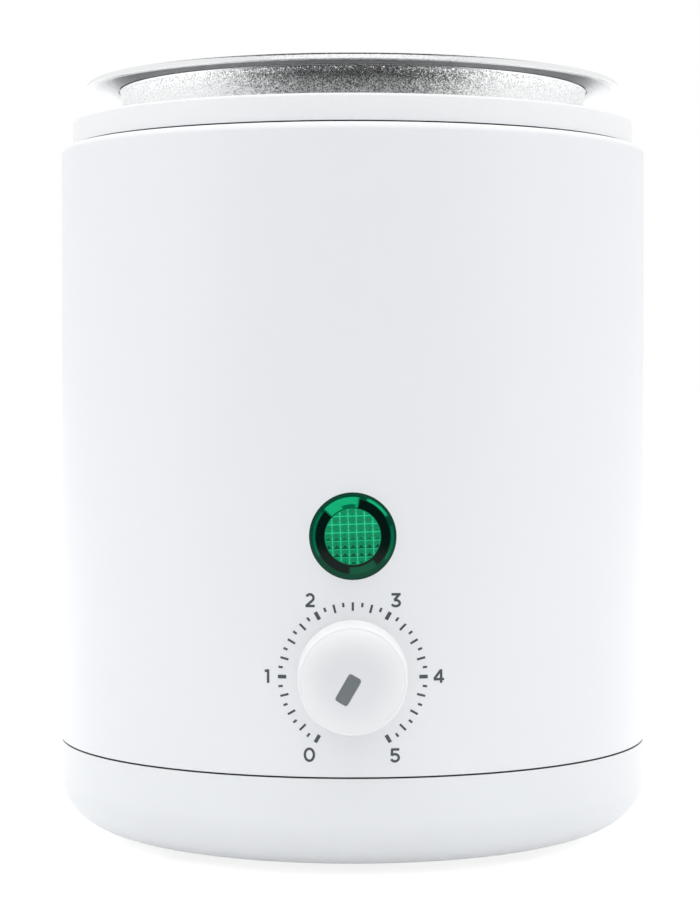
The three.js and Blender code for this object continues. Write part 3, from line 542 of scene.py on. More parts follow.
# %% [markdown]
# ## The two seams
# Where two mouldings meet there is a gap of 0.2 to 0.3 mm. It could be left to the renderer, but
# light that bounces between white walls would fill it with grey. So the edges are drawn with the
# real gap, a little lower than in the CAD model, and the plastic inside it is painted near black.

# %% Seams and white finishes
seam_gap, seam_edge = 0.3, 0.16
collar_drop, deck_drop, wall_drop = 0.3, 0.22, 0.18
seam_margin, collar_margin, collar_reach = 0.02, 0.03, 0.05
satin, satin_peel = 0.34, 0.004
collar_radius = span("collar_ring")[1][0]
collar_bottom = span("collar_ring")[0][2] - collar_drop
deck_top = body_top - deck_drop
seam_bottom = body_bottom - wall_drop
base_top = seam_bottom - seam_gap
upper_seam = (deck_top - seam_margin, collar_bottom + collar_margin, collar_radius + collar_reach)
lower_seam = (base_top - seam_margin, seam_bottom + seam_margin, body_radius - seam_edge)
body_white = finish("body_white", moulded(
    (0.80, 0.815, 0.84), (0.79, 0.807, 0.83), satin, satin_peel, [upper_seam, lower_seam],
))
collar_white = finish("collar_white", moulded(
    (0.84, 0.853, 0.868), (0.83, 0.843, 0.858), satin, satin_peel, [upper_seam],
))
base_white = finish("base_white", moulded(
    (0.79, 0.81, 0.825), (0.78, 0.80, 0.815), 0.4, 0.006, [lower_seam],
))
print("seams at", round(seam_bottom, 2), "and", round(deck_top, 2))

# %% [markdown]
# ## Body shell
# The body is a plain cylinder with an inward deck on top. Inside it are the columns for the base
# screws, flat seats behind the panel holes and a flat pad behind, where the cord gland sits. The
# wall is one turned profile. Everything that isn't round about the axis is joined or cut, as the
# mould's cores and slides would do.

# %% Body sizes
body_wall, band_thickness, deck_clearance = 2.5, 1.8, 2.2
shoulder_rounding, crisp_rounding, seam_rounding, inner_rounding = 1.5, 0.2, 0.3, 0.5
body_inner = body_radius - body_wall
well_outer = span("heater_band")[1][0] - band_thickness - fit_gap
deck_inner = well_outer + deck_clearance
control_height = centre("control_spindle")[2]
lamp_height = centre("lamp_holder")[2]
gland_height = centre("cord_gland")[2]


def places_of(node, count):
    """Where each of a row of numbered CAD nodes stands, seen from above."""
    return [centre(f"{node}_{i}")[:2] for i in range(1, count + 1)]


screw_places = places_of("base_screw", 4)
collar_screw_places = places_of("collar_screw", 3)
foot_places = places_of("rubber_foot", 4)
print("control", round(control_height, 2), "lamp", round(lamp_height, 2))

# %% Turn the body
body_profile = rounded([
    [body_radius, seam_bottom, seam_edge],
    [body_radius, deck_top, shoulder_rounding],
    [deck_inner, deck_top, seam_rounding],
    [deck_inner, body_top - body_wall, seam_rounding],
    [body_inner, body_top - body_wall, inner_rounding],
    [body_inner, seam_bottom, seam_rounding],
])
body_shell = new_piece(
    "housing_body", turned(body_profile), "housing", body_white, ["body_shell"]
)
report(body_shell)

# %% Join the inner columns, the seats and the rear pad
column_radius, column_height = 4.0, 25.0
rib_half, rib_start = 1.5, 4.2
pad_radius, pad_proud, pad_rounding = 10.0, 0.5, 0.35
seat_sizes = [(8.35, 16.0, control_height), (10.4, 10.4, lamp_height)]
seat_step = 0.4
wall_middle = body_inner + body_wall / 2
column_top = body_bottom + column_height
column_circle = float(np.hypot(*screw_places[0]))


def seat_depth(reach):
    """How far a flat seat stands from the axis: the chord at its edge, and a small step more."""
    return math.sqrt(body_inner**2 - reach**2) - seat_step


def inner_seat(radius, reach, height):
    """A flat disc behind a panel hole, from its seat to the middle of the wall."""
    return to_front(disc(radius, seat_depth(reach) - body_radius, -body_wall / 2), height)


rib = rounded([[column_circle, -rib_half], [wall_middle, -rib_half], [wall_middle, rib_half],
               [column_circle, rib_half]])
columns = bars(screw_places, column_radius, body_bottom, column_top, small_sides)
ribs = [
    moved(pushed(rib, body_bottom + rib_start, column_top), turn=math.atan2(y, x))
    for x, y in screw_places
]
pad = turned(rounded([[0, wall_middle], [pad_radius, wall_middle],
                      [pad_radius, body_radius + pad_proud, pad_rounding],
                      [0, body_radius + pad_proud]]), small_sides)
seats = [inner_seat(*seat) for seat in seat_sizes]
carve(body_shell, [*columns, to_rear(pad, gland_height), *seats], "UNION")
carve(body_shell, ribs, "UNION")
report(body_shell)

# %% Cut the panel holes
bush_hole, lamp_hole, gland_hole, screw_hole, deck_hole = 5.05, 6.6, 7.0, 1.8, 1.55
front_drill, rear_drill, pilot_stop = 8, 6, 2.2
overrun = 2.0
below_deck = body_top - 2 * body_wall
holes = [
    to_front(disc(bush_hole, -front_drill, overrun), control_height),
    to_front(disc(lamp_hole, -front_drill, overrun), lamp_height),
    to_rear(disc(gland_hole, body_inner - rear_drill, body_radius + overrun), gland_height),
    *bars(screw_places, screw_hole, body_bottom - overrun, column_top - pilot_stop),
    *bars(collar_screw_places, deck_hole, below_deck, body_top + overrun),
]
carve(body_shell, holes)
report(body_shell)

# %% [markdown]
# ## Collar ring
# The collar closes the top of the housing round the well. It is narrower than the body, so the
# body shows a narrow shoulder. Its top edge is rounded by about half a millimetre, which draws a
# thin soft highlight. Three bosses under its plate take the screws from below.

# %% Turn the collar
collar_wall, collar_plate, collar_rounding, collar_clearance = 2.5, 2.0, 0.6, 0.8
lip_reach, boss_radius, pilot_cover = 0.45, 2.6, 1
collar_top = span("collar_ring")[1][2]
lip_radius = well_outer + lip_reach
collar_inner = lip_radius + collar_clearance
collar_profile = rounded([
    [collar_radius, collar_bottom, seam_edge],
    [collar_radius, collar_top, collar_rounding],
    [collar_inner, collar_top, inner_rounding],
    [collar_inner, collar_top - collar_plate, seam_rounding],
    [collar_radius - collar_wall, collar_top - collar_plate, seam_rounding],
    [collar_radius - collar_wall, collar_bottom, seam_rounding],
])
collar = new_piece(
    "housing_collar", turned(collar_profile),
    "housing", collar_white, ["collar_ring"],
)
boss_top = collar_top - collar_plate / 2
pilot = (deck_hole, collar_bottom - overrun, collar_top - pilot_cover)
carve(collar, bars(collar_screw_places, boss_radius, collar_bottom, boss_top), "UNION")
carve(collar, bars(collar_screw_places, *pilot))
report(collar)

# %% [markdown]
# ## Base pan
# The base is a shallow dish whose corner is a quarter of an ellipse, wider than it is high. A
# tongue inside the body centres it. Underneath are the screw wells, the holes for the feet, two
# banks of vents and a bare recess where a label would go. The dish is one profile, down the
# outside and back up the inside, and the rest is cut.

# %% Turn the base
base_floor, tongue_wall, tongue_root, wall_root = 2.5, 2.0, 2, 4
corner_width, corner_height, corner_steps = 12.3, 9.9, 40
base_bottom = span("base_pan")[0][2]
tongue_top = span("base_pan")[1][2]
tongue_outer = body_inner - fit_gap
tongue_inner = tongue_outer - tongue_wall


def base_corner(inset):
    """The quarter ellipse of the base's corner, drawn in by an inset all along."""
    middle = (body_radius - corner_width, base_bottom + corner_height)
    radii = (corner_width - inset, corner_height - inset)
    return arc(middle, radii, -math.pi / 2, math.pi / 2, corner_steps)


rim = rounded([
    [body_radius, base_bottom + corner_height],
    [body_radius, base_top, seam_edge],
    [tongue_outer, base_top],
    [tongue_outer, tongue_top, seam_rounding],
    [tongue_inner, tongue_top, seam_rounding],
    [tongue_inner, base_top - tongue_root],
    [body_radius - base_floor, base_top - wall_root],
    [body_radius - base_floor, base_bottom + corner_height],
])[1:-1]
base_profile = np.vstack([
    [[0, base_bottom]], base_corner(0), rim, base_corner(base_floor)[::-1],
    [[0, base_bottom + base_floor]],
])
base = new_piece(
    "housing_base", turned(base_profile), "housing", base_white, ["base_pan"]
)
report(base)

# %% Join the posts and pegs, and cut the underside
head_well, head_depth, head_height = 3.3, 5.5, 2.2
post_radius, post_gap, root_depth, foot_hole = 4.4, 0.6, 1, 2.3
peg_radius, peg_height, peg_offset, peg_hole, peg_drill = 2.6, 3.5, 8.0, 1.5, 6
vent_length, vent_width, vent_pitch, vent_offset = 14.0, 3.0, 7.0, 26.0
label_width, label_height, label_depth, label_rounding = 34.0, 22.0, 0.5, 3.0
hair = 0.01
floor_top = base_bottom + base_floor
above_floor, above_base = floor_top + overrun, base_top + overrun


def slot_outline(width, height, rounding):
    """A rectangle about zero with rounded corners."""
    x, y = width / 2, height / 2
    return rounded([[-x, -y, rounding], [x, -y, rounding], [x, y, rounding], [-x, y, rounding]])


head_top = base_bottom + head_depth + head_height
stepped = turned([[0, 0], [head_well, 0], [head_well, head_top], [screw_hole, head_top],
                  [screw_hole, above_base], [0, above_base]], tiny_sides)
vent = pushed(slot_outline(vent_length, vent_width, vent_width / 2 - hair), 0, above_floor)
label = pushed(slot_outline(label_width, label_height, label_rounding), 0, base_bottom + label_depth)
peg_places = [(-peg_offset, 0), (peg_offset, 0)]
root = base_bottom + root_depth
carve(base, [
    *bars(screw_places, post_radius, root, base_top - post_gap),
    *bars(peg_places, peg_radius, root, floor_top + peg_height),
], "UNION")
carve(base, [
    *[moved(stepped, *spot) for spot in screw_places],
    *bars(foot_places, foot_hole, 0, above_floor),
    *bars(peg_places, peg_hole, floor_top, floor_top + peg_drill),
    *[moved(vent, side * vent_offset, row * vent_pitch) for side in (-1, 1) for row in (-1, 0, 1)],
    label,
])
report(base)

# %% [markdown]
# ## Metals of the pot and the well
# The well is cast and then blasted with grit, so its skin is a field of tiny facets that sparkle
# where they face a light. The pot is spun from sheet, and the forming roller leaves fine rings
# round its axis. Both are bare metal. The difference lies in how the noise is stretched: equal
# grains for the casting, and long thin rings for the spinning. The flange's underside mirrors the
# bright table, so painted shade darkens it there, strongest at the front and back, and it is made
# rougher, which keeps its edge clear.

# %% Metal finishes
fractal = (3.0, 0.6)
grain_scale, grain_tilt, grain_share, coarse_scale = 5.5, 0.35, 0.85, 1.2
cast_roughness, grain_roughness = 0.22, 0.06
rubbed_highlight_band, rubbed_highlight_fade = 0.45, 0.7
bright_grain_and_highlight, blasted_grey = (0.95, 0.955, 0.96), (0.78, 0.79, 0.80)
ring_scale, ring_stretch, ring_depth = 5, 0.05, 0.012
fleck_scale, fleck_depth = 2.2, 0.05
spun_roughness, ring_roughness, dull_roughness = 0.1, 0.12, 0.3
pot_sheet, flange_sheet, step_drop = 1.05, 1.2, 0.15

# Where the flange counts as its underside, and where its painted shade ends, in millimetres.
shade_start, under_edge, under_blur, under_step = 46.0, 0.25, 0.15, (0.4, 0.6)
rim_start, rim_end, side_shift, side_share = 2.4, 0.9, 4, 0.85
lip_top = well_high.z / MM
flange_radius = span("insert_pot")[1][0]
flange_under = span("insert_pot")[1][2] - step_drop - flange_sheet


def blasted(paint):
    """Describes grit-blasted aluminium whose grains tilt, with a painted highlight on the smoothed
    lip.
    """
    place = paint.place()
    height = paint.parts(place)[2]
    # Painted highlight: the top of the lip is painted brighter, and it is smoothed of its grain tilt
    # like a rubbed band.
    rubbed_and_highlit = height.ramp(lip_top - rubbed_highlight_band, lip_top - rubbed_highlight_band * rubbed_highlight_fade)
    grains = paint.grains(place, grain_scale)
    tilt = paint.vectors("SUBTRACT", {0: grains, 1: (0.5, 0.5, 0.5)})
    grain = paint.parts(grains)[0]
    coarse = paint.noise(place, coarse_scale, *fractal)
    normal = paint.node("ShaderNodeNewGeometry").outputs["Normal"]
    tone = grain * grain_share + coarse * (1 - grain_share)
    skin = paint.blend(tone, blasted_grey, bright_grain_and_highlight)
    return {
        "Base Color": paint.blend(rubbed_and_highlit, skin, bright_grain_and_highlight),
        "Metallic": 1.0,
        "Roughness": cast_roughness + grain * grain_roughness,
        "Normal": paint.leaning(normal, tilt, grain_tilt * (1 - rubbed_and_highlit)),
    }


def spun(paint):
    """Describes spun aluminium: rings about the axis, and painted shade and more roughness under the
    flange.
    """
    place = paint.place()
    x, y, z = paint.parts(place)
    radius = from_axis(x, y)
    round_about = paint.vector(radius * ring_scale, z * ring_scale, (x + y) * ring_stretch)
    rings = paint.noise(round_about, 1.0, *fractal)
    fleck = paint.noise(place, fleck_scale, *fractal)
    # Painted shade under the flange: its colour is darkened a little all over and much more away from
    # its rim, most at the front and back, where it is also rougher.
    beneath = 1 - z.ramp(*[flange_under + step for step in under_step])
    under = beneath * radius.within(shade_start, flange_radius - under_edge, under_blur)
    rim = radius.ramp(flange_radius - rim_start, flange_radius - rim_end)
    aside = abs(x).ramp(shade_start - side_shift, flange_radius - side_shift)
    dull_shade = under * (1 - rim) * (1 - aside * side_share)
    bright = paint.blend(rings, (0.80, 0.81, 0.82), (0.90, 0.905, 0.91))
    lightly_shaded = paint.blend(under, bright, (0.72, 0.73, 0.74))
    return {
        "Base Color": paint.blend(dull_shade, lightly_shaded, (0.25, 0.26, 0.27)),
        "Metallic": 1.0,
        "Roughness": spun_roughness + rings * ring_roughness + dull_shade * dull_roughness,
        "Normal": paint.bump(fleck * (1 - dull_shade), fleck_depth, paint.bump(rings, ring_depth)),
    }


cast_metal = finish("blasted_aluminium", blasted)
spun_metal = finish("spun_aluminium", spun)
print("metals made")

# %% [markdown]
# ## Heated well
# The well is a thick cup, and its wall shows between the collar and the pot's flange. A small
# bead runs round its lip. Under the collar a flange clamps it to the deck.

# %% Turn the well
well_wall, well_floor, well_corner, clamp_thickness = 2.0, 4.0, 4.0, 1.5
flare_height, flare_out, flare_steps = 3.2, 0.25, 12
bead_drop, lip_rounding, mouth_rounding, notch_reach = 0.35, 0.06, 0.7, 1
well_bottom = well_low.z / MM
clamp_radius = span("heating_well")[1][0]
well_inner = well_outer - well_wall
flange_bottom = span("well_gasket")[1][2] + fit_gap
flange_top = flange_bottom + clamp_thickness


def flare(steps):
    """The wall's slow outward bend below the lip: across grows with the square of the height."""
    share = np.linspace(0, 1, steps + 1)
    rise = flare_height - bead_drop
    return np.column_stack([well_outer + flare_out * share**2, lip_top - flare_height + rise * share])


below_lip = rounded([
    [0, well_bottom],
    [well_outer, well_bottom, well_corner],
    [well_outer, flange_bottom],
    [clamp_radius, flange_bottom, crisp_rounding],
    [clamp_radius, flange_top, crisp_rounding],
    [well_outer, flange_top, inner_rounding],
    [well_outer, lip_top],
])[:-1]
above_lip = rounded([
    [well_outer, lip_top - bead_drop],
    [lip_radius, lip_top, lip_rounding],
    [well_inner, lip_top, mouth_rounding],
    [well_inner, well_bottom + well_floor, well_corner],
    [0, well_bottom + well_floor],
])[1:]
well_profile = np.vstack([below_lip, flare(flare_steps), above_lip])
well = new_piece(
    "well_cup", turned(well_profile), "housing", cast_metal, ["heating_well"]
)
notch = (boss_radius + fit_gap, flange_bottom - notch_reach, flange_top + notch_reach)
carve(well, bars(collar_screw_places, *notch))
report(well)

# %% [markdown]
# ## Lift-out pot
# The pot is one sheet of aluminium about a millimetre thick. Its web lies over the well's lip and
# steps down to a wide flat flange with a rounded edge, which is where fingers lift it. The
# profile runs down the outside and up the inside, always one sheet apart.

# %% Turn the pot
pot_clearance, pot_corner, step_clearance = 0.9, 4.9, 0.2
pressed_rounding, web_rounding = 0.1, 0.35
upper_edge, lower_edge, edge_lean = 0.55, 0.08, 0.44
pot_bottom, web_top = (corner[2] for corner in span("insert_pot"))
pot_outer = well_inner - pot_clearance
pot_inner = pot_outer - pot_sheet
step_radius = lip_radius + step_clearance
web_under, flange_level = web_top - pot_sheet, web_top - step_drop
pot_profile = rounded([
    [0, pot_bottom],
    [pot_outer, pot_bottom, pot_corner],
    [pot_outer, web_under, seam_rounding],
    [step_radius, web_under, pressed_rounding],
    [step_radius, flange_under, pressed_rounding],
    [flange_radius, flange_under, lower_edge],
    [flange_radius - edge_lean, flange_level, upper_edge],
    [step_radius + pot_sheet, flange_level, seam_rounding],
    [step_radius + pot_sheet / 2, web_top, web_rounding],
    [pot_inner, web_top, pot_sheet],
    [pot_inner, pot_bottom + pot_sheet, pot_corner - pot_sheet],
    [0, pot_bottom + pot_sheet],
])
pot = new_piece(
    "spun_pot", turned(pot_profile), "pot", spun_metal, ["insert_pot"]
)
report(pot)

# %% [markdown]
# ## Knob and pointer
# The knob is a hollow cap with a slightly domed face. A hub inside it grips the flat side of the
# spindle. The pointer is a small grey tab in a shallow pocket, a tenth of a millimetre clear of
# it all round, and that gap draws the thin pale line round the mark.
#
# Two settings are for the renderer alone. In such even light no dark halo shows on the wall round
# the knob, so the knob doesn't dim the wall behind it. Its roughness stays above 0.3, because the
# denoiser treats mirror-like surfaces in another way and would leave blotches where it wanders.

# %% Turn the knob
knob_standoff, knob_wall, knob_face, knob_draft = 0.6, 1.4, 1.7, 0.3
knob_dome, dome_power, dome_steps, knob_rounding = 1.5, 3, 24, 0.45
hub_radius, hub_back, skirt_rounding = 4.6, 5.2, 0.25
knob_roughness, knob_peel, wall_blend, shaded_middle = 0.33, 0.002, 0.25, 0.35
knob_radius = span("control_knob")[1][0]
knob_reach = -span("control_knob")[0][1] - body_radius
face_edge = knob_reach - knob_dome
inner_face = face_edge - knob_face


def dome(radius, edge, rise, power=2):
    """A shallow dome in from a round edge: the height grows as one minus a power of the radius."""
    share = np.linspace(1, 0, dome_steps + 1)[1:]
    return np.column_stack([radius * share, edge + rise * (1 - share**power)])


knob_outside = rounded([
    [0, hub_back],
    [hub_radius, hub_back, crisp_rounding],
    [hub_radius, inner_face, seam_rounding],
    [knob_radius - knob_wall, inner_face, inner_rounding],
    [knob_radius - knob_wall, knob_standoff, crisp_rounding],
    [knob_radius + knob_draft, knob_standoff, skirt_rounding],
    [knob_radius, face_edge, knob_rounding],
    [0, face_edge],
])[:-1]


def knob_with_painted_light(paint):
    """Describes the knob's plastic with painted light: its wall is painted bright, its face darker to
    the middle.
    """
    place = paint.place()
    x, _, z = paint.parts(place)
    radius = from_axis(x, z - control_height)
    worn = paint.noise(place, gloss_scale) - 0.5
    skin = paint.noise(place, peel_scale, peel_detail)
    # Painted highlight and shade: the wall is painted near white, and the face lightens from a darker
    # middle to its rim.
    wall = radius.ramp(knob_radius - wall_blend, knob_radius)
    rim = radius.ramp(knob_radius * shaded_middle, knob_radius)
    face = paint.blend(rim, (0.715, 0.73, 0.748), (0.80, 0.812, 0.825))
    return {
        "Base Color": paint.blend(wall, face, (0.88, 0.885, 0.89)),
        "Roughness": knob_roughness + worn * gloss_swing,
        "Normal": paint.bump(skin * (1 - wall), knob_peel),
    }


def dims_nothing(piece):
    """Keeps a piece from casting a shadow and from dimming the light that others scatter."""
    piece.visible_shadow = False
    piece.visible_diffuse = False


knob_white = finish("knob_white", knob_with_painted_light)
knob_top = dome(knob_radius - knob_rounding, face_edge, knob_dome, dome_power)
knob_profile = np.vstack([knob_outside, knob_top])
knob = new_piece(
    "knob_cap", to_front(turned(knob_profile, round_sides), control_height),
    "knob", knob_white, ["control_knob"],
)
report(knob)

# %% Cut the pocket and the bore, and set the pointer
pointer_length, pointer_width, pointer_offset = 5.32, 2.41, 1.62
pointer_depth, pointer_gap, pointer_rounding, pointer_sunk = 1.2, 0.1, 0.4, 0.06
pointer_bevel = 0.06
pointer_turn = -math.radians(30)
spindle_radius, spindle_flat = 3.0, 0.7
ink_grey, ink_shade = (0.145, 0.162, 0.171), (0.138, 0.155, 0.164)


def pointer_plate(grow, bottom, top):
    """The pointer's outline, grown all round, pushed through and turned to the zero of the dial."""
    width, length = pointer_width + 2 * grow, pointer_length + 2 * grow
    plate = pushed(slot_outline(width, length, pointer_rounding + grow), bottom, top)
    return moved(moved(plate, 0, -pointer_offset), turn=pointer_turn)


def flat_sided(radius, flat, bottom, top):
    """A round bar with one flat side, as the spindle and its bore have."""
    half = math.acos((radius - flat) / radius)
    edge = arc((0, 0), (radius, radius), half, 2 * math.pi - 2 * half, small_sides)
    return pushed(edge, bottom, top)


pocket = pointer_plate(pointer_gap, knob_reach - pointer_depth - pointer_gap, knob_reach + overrun)
bore = flat_sided(spindle_radius + fit_gap, spindle_flat, hub_back - overrun, inner_face + fit_gap)
carve(knob, [to_front(pocket, control_height), to_front(bore, control_height)])
pointer_grey = finish("pointer_grey", moulded(ink_grey, ink_shade, 0.5, 0.003))
pointer = new_piece(
    "pointer_tab",
    to_front(pointer_plate(0, knob_reach - pointer_depth, knob_reach + overrun), control_height),
    "knob", pointer_grey, ["knob_pointer"],
)
under_dome = np.vstack([
    [[0, hub_back], [hub_radius * 2, hub_back]],
    dome(knob_radius - knob_rounding, face_edge - pointer_sunk, knob_dome, dome_power),
])
carve(pointer, [to_front(turned(under_dome, round_sides), control_height)], "INTERSECT")
bevel = pointer.modifiers.new("edge", "BEVEL")
bevel.width = pointer_bevel * MM
bevel.segments = 2
bevel.limit_method = "ANGLE"
dims_nothing(knob)
report(knob)
report(pointer)

# %% [markdown]
# ## The printed dial
# The scale is pad-printed on the curved wall: 41 ticks from 0 to 5 over 300 degrees, and six
# plain numbers in an upright sans. An image or a text object could stand for it. Here each stroke
# is a narrow ribbon along a path, worked out flat and then laid on the cylinder, with real
# thickness of a few hundredths of a millimetre, so the print is there in the mesh as well.

# %% Ribbons on the wall
ink_proud, ink_sunk = 0.025, 0.05
path_step, bow_steps, full_circle_steps = 0.25, 22, 48


def line(start, end):
    """Evenly spaced points from one place to another."""
    count = max(2, math.ceil(math.dist(start, end) / path_step) + 1)
    return np.array(start) + (np.array(end) - start) * np.linspace(0, 1, count)[:, None]


def bow(middle, radii, start, end, steps=bow_steps):
    """Points on an ellipse between two angles in degrees, anticlockwise from the right."""
    return arc(middle, radii, math.radians(start), math.radians(end - start), steps)


def ribbon(path, width, closed=False):
    """A strip along a path: the path plus and minus half its width along the path's normal."""
    if closed:
        ahead, back = np.roll(path, -1, 0), np.roll(path, 1, 0)
    else:
        ahead, back = np.vstack([path[1:], path[-1:]]), np.vstack([path[:1], path[:-1]])
    along = (ahead - back) / np.linalg.norm(ahead - back, axis=1)[:, None]
    aside = np.column_stack([-along[:, 1], along[:, 0]]) * width / 2
    left, right = path + aside, path - aside
    count = len(path)
    flat = np.vstack([left, right, left, right])
    level = np.repeat([ink_proud, ink_proud, -ink_sunk, -ink_sunk], count)
    here = np.arange(count if closed else count - 1)
    after = (here + 1) % count
    sides = [(0, 1), (1, 3), (3, 2), (2, 0)]
    faces = [np.stack([a * count + here, b * count + here, b * count + after, a * count + after], 1)
             for a, b in sides]
    faces = np.vstack(faces).tolist()
    if not closed:
        last = count - 1
        faces += [[0, 2 * count, 3 * count, count]]
        faces += [[last, count + last, 3 * count + last, 2 * count + last]]
    return np.column_stack([flat, level]), faces


def joined(shapes):
    """Several shapes as one, each with its faces counted on from the ones before."""
    starts = np.cumsum([0] + [len(points) for points, _ in shapes])
    faces = [[i + int(start) for i in face] for start, (_, fs) in zip(starts, shapes) for face in fs]
    return np.vstack([points for points, _ in shapes]), faces


def on_wall(shape, height):
    """Lays a flat shape on the front of the round wall, seen straight from the front."""
    (x, y, z), faces = shape[0].T, shape[1]
    return np.column_stack([x, -np.sqrt((body_radius + z) ** 2 - x**2), height + y]), faces


# %% Ticks and numbers
tick_count, number_every, long_every = 41, 8, 2
tick_pitch, first_tick = 7.5, 30.0
tick_outer, long_inner, short_inner = 13.75, 12.2, 12.95
major_width, minor_width, stroke = 0.68, 0.41, 0.46
dial_drop = 0.5
digit_places = [(-7.95, -14.2), (-15.76, 0), (-7.84, 14.1), (7.9, 14.1), (15.8, 0), (7.7, -14.3)]
digits = [
    [bow((0, 0), (0.83, 1.1), 90, 450, full_circle_steps)[:-1]],
    [line((0.2, 1.25), (0.2, -1.25)), line((-0.42, 0.9), (0.2, 1.12))],
    [np.vstack([bow((0, 0.42), (0.64, 0.65), 160, -38), line((0.4, -0.1), (-0.68, -1.05))]),
     line((-0.84, -1.07), (0.86, -1.07))],
    [line((-0.82, 1.07), (0.86, 1.07)), line((0.6, 1.05), (-0.3, 0.0)),
     np.vstack([line((-0.36, 0.0), (-0.1, 0.0)), bow((-0.04, -0.55), (0.74, 0.55), 90, -160)])],
    [line((0.43, 1.25), (0.43, -1.25)), line((-0.92, -0.56), (0.98, -0.56)),
     line((0.4, 1.15), (-0.86, -0.5))],
    [line((-0.62, 1.07), (0.82, 1.07)), line((-0.5, 1.2), (-0.56, -0.08)),
     bow((0, -0.45), (0.72, 0.66), 140, -158)],
]


def tick(i):
    """One tick: long and short in turn, and wide at every number."""
    angle = math.radians(first_tick + tick_pitch * i)
    out = np.array([-math.sin(angle), -math.cos(angle)])
    inner = short_inner if i % long_every else long_inner
    width = minor_width if i % number_every else major_width
    return ribbon(line(out * inner, out * tick_outer), width)


ticks = [tick(i) for i in range(tick_count)]
numbers = [
    moved(ribbon(path, stroke, closed=number == 0), *digit_places[number])
    for number, paths in enumerate(digits) for path in paths
]
dial_ink = finish("dial_ink", moulded((0.055, 0.07, 0.075), (0.05, 0.065, 0.07), 0.55, 0.002))
dial = new_piece(
    "dial_print", on_wall(joined(ticks + numbers), control_height - dial_drop),
    "housing", dial_ink,
)
report(dial)

# %% [markdown]
# ## Pilot lamp lens
# The lens is a button of clear green plastic. Its middle holds a field of small pyramids that
# spreads the glow of the lamp, and round it one looks down the thin skirt, which reads as dark
# rings with bright slivers where the light gets through. Real refraction would need many samples
# and would change with every light. The relief is real geometry, and the colours that the light
# makes in the plastic are painted by radius, by angle and by the side of each pyramid. As with
# the knob, the wall behind shows no dark halo, so the lens doesn't dim it.

# %% Turn the lens
skirt_radius, skirt_wall, lens_skirt, cup_middle, cup_side = 6.3, 1.1, 7.5, 0.5, 1.2
lens_rim, lens_dome, lens_rounding, back_rounding = 1.5, 0.7, 0.6, 0.15
field_radius, field_depth, field_sunk, drill_out = 5.12, 0.3, 0.2, 1
cell, cell_rise, cells_across = 1.49, 0.42, 8
cell_turn = math.radians(2)
lens_radius = span("lamp_lens")[1][0]
lens_front = -span("lamp_lens")[0][1] - body_radius
rim_top = fit_gap + lens_rim
field_floor = lens_front - field_depth - cell_rise
lens_outside = rounded([
    [0, rim_top - cup_middle],
    [skirt_radius - skirt_wall, rim_top - cup_side],
    [skirt_radius - skirt_wall, -lens_skirt],
    [skirt_radius, -lens_skirt],
    [skirt_radius, fit_gap],
    [lens_radius, fit_gap, back_rounding],
    [lens_radius, rim_top, lens_rounding],
    [0, rim_top],
])[:-1]
lens_top = dome(lens_radius - lens_rounding, rim_top, lens_dome)
lens_shape = turned(np.vstack([lens_outside, lens_top]), round_sides)
print("lens", round(2 * lens_radius, 2), "mm across, field", round(2 * field_radius, 2))

# %% Raise the pyramids
def pyramids(count, bottom, top, rise):
    """A square block whose top is a grid of pyramids: each cell's four corners stay low, and its
    middle point is raised."""
    reach = np.arange(count + 1) * cell - count * cell / 2
    corner_x, corner_y = np.meshgrid(reach, reach, indexing="ij")
    middle_x, middle_y = np.meshgrid(reach[:-1] + cell / 2, reach[:-1] + cell / 2, indexing="ij")
    corners = np.column_stack([corner_x.ravel(), corner_y.ravel(), np.full(corner_x.size, top)])
    peaks = np.column_stack([middle_x.ravel(), middle_y.ravel(), np.full(middle_x.size, top + rise)])
    index = np.arange(corner_x.size).reshape(count + 1, count + 1)
    a, b, c, d = index[:-1, :-1], index[1:, :-1], index[1:, 1:], index[:-1, 1:]
    peak = corner_x.size + np.arange(middle_x.size).reshape(count, count)
    sides = [np.stack([p, q, peak], 2).reshape(-1, 3) for p, q in ((a, b), (b, c), (c, d), (d, a))]
    edge = np.concatenate([index[:-1, 0], index[-1, :-1], index[:0:-1, -1], index[0, :0:-1]])
    foot = corner_x.size + middle_x.size + np.arange(len(edge))
    low = corners[edge] * (1, 1, 0) + (0, 0, bottom)
    walls = np.stack([foot, np.roll(foot, -1), np.roll(edge, -1), edge], 1)
    faces = np.vstack(sides).tolist() + walls.tolist() + [foot[::-1].tolist()]
    return np.vstack([corners, peaks, low]), faces


prisms = pyramids(cells_across, field_floor - field_sunk, field_floor, cell_rise)
print("pyramids", cells_across**2, "before the round cut")

# %% Colours of the lens
# The shades of the plastic, and soft steps from one radius to another in millimetres.
deep, ring, mid = (0.001, 0.008, 0.006), (0.0, 0.055, 0.026), (0.002, 0.27, 0.115)
mint, pale, hollow = (0.02, 0.58, 0.27), (0.006, 0.40, 0.17), (0.0, 0.1, 0.05)
dim, dusk = (0.0, 0.13, 0.06), (0.0, 0.085, 0.04)
ring_step, middle_step, field_step = (6.75, 6.95), (5.1, 5.2), (5.0, 5.1)
rim_lines = [(7.7, 7.82, (0.002, 0.01, 0.008)), (7.88, 7.96, (0.0, 0.11, 0.05))]

# Slivers of light: first and last angle, clockwise from the top, two radii and the colour.
slivers = [
    (-46, 9, 5.3, 7.2, pale), (22, 58, 6.95, 7.45, pale),
    (-120, -52, 6.85, 7.35, dim), (75, 125, 7.0, 7.5, dim), (-20, 5, 5.15, 5.9, dim),
    (140, 185, 5.6, 6.9, dusk),
]
sliver_turn, sliver_blur = 0.05, 0.07

# Pyramids: the width of the bright lines between them, the crease and the rows that turn darker.
line_step, crease_step, row_step = (0.06, 0.16), (0.03, -0.03), (0.6, -1.4)
print("slivers of light", len(slivers))

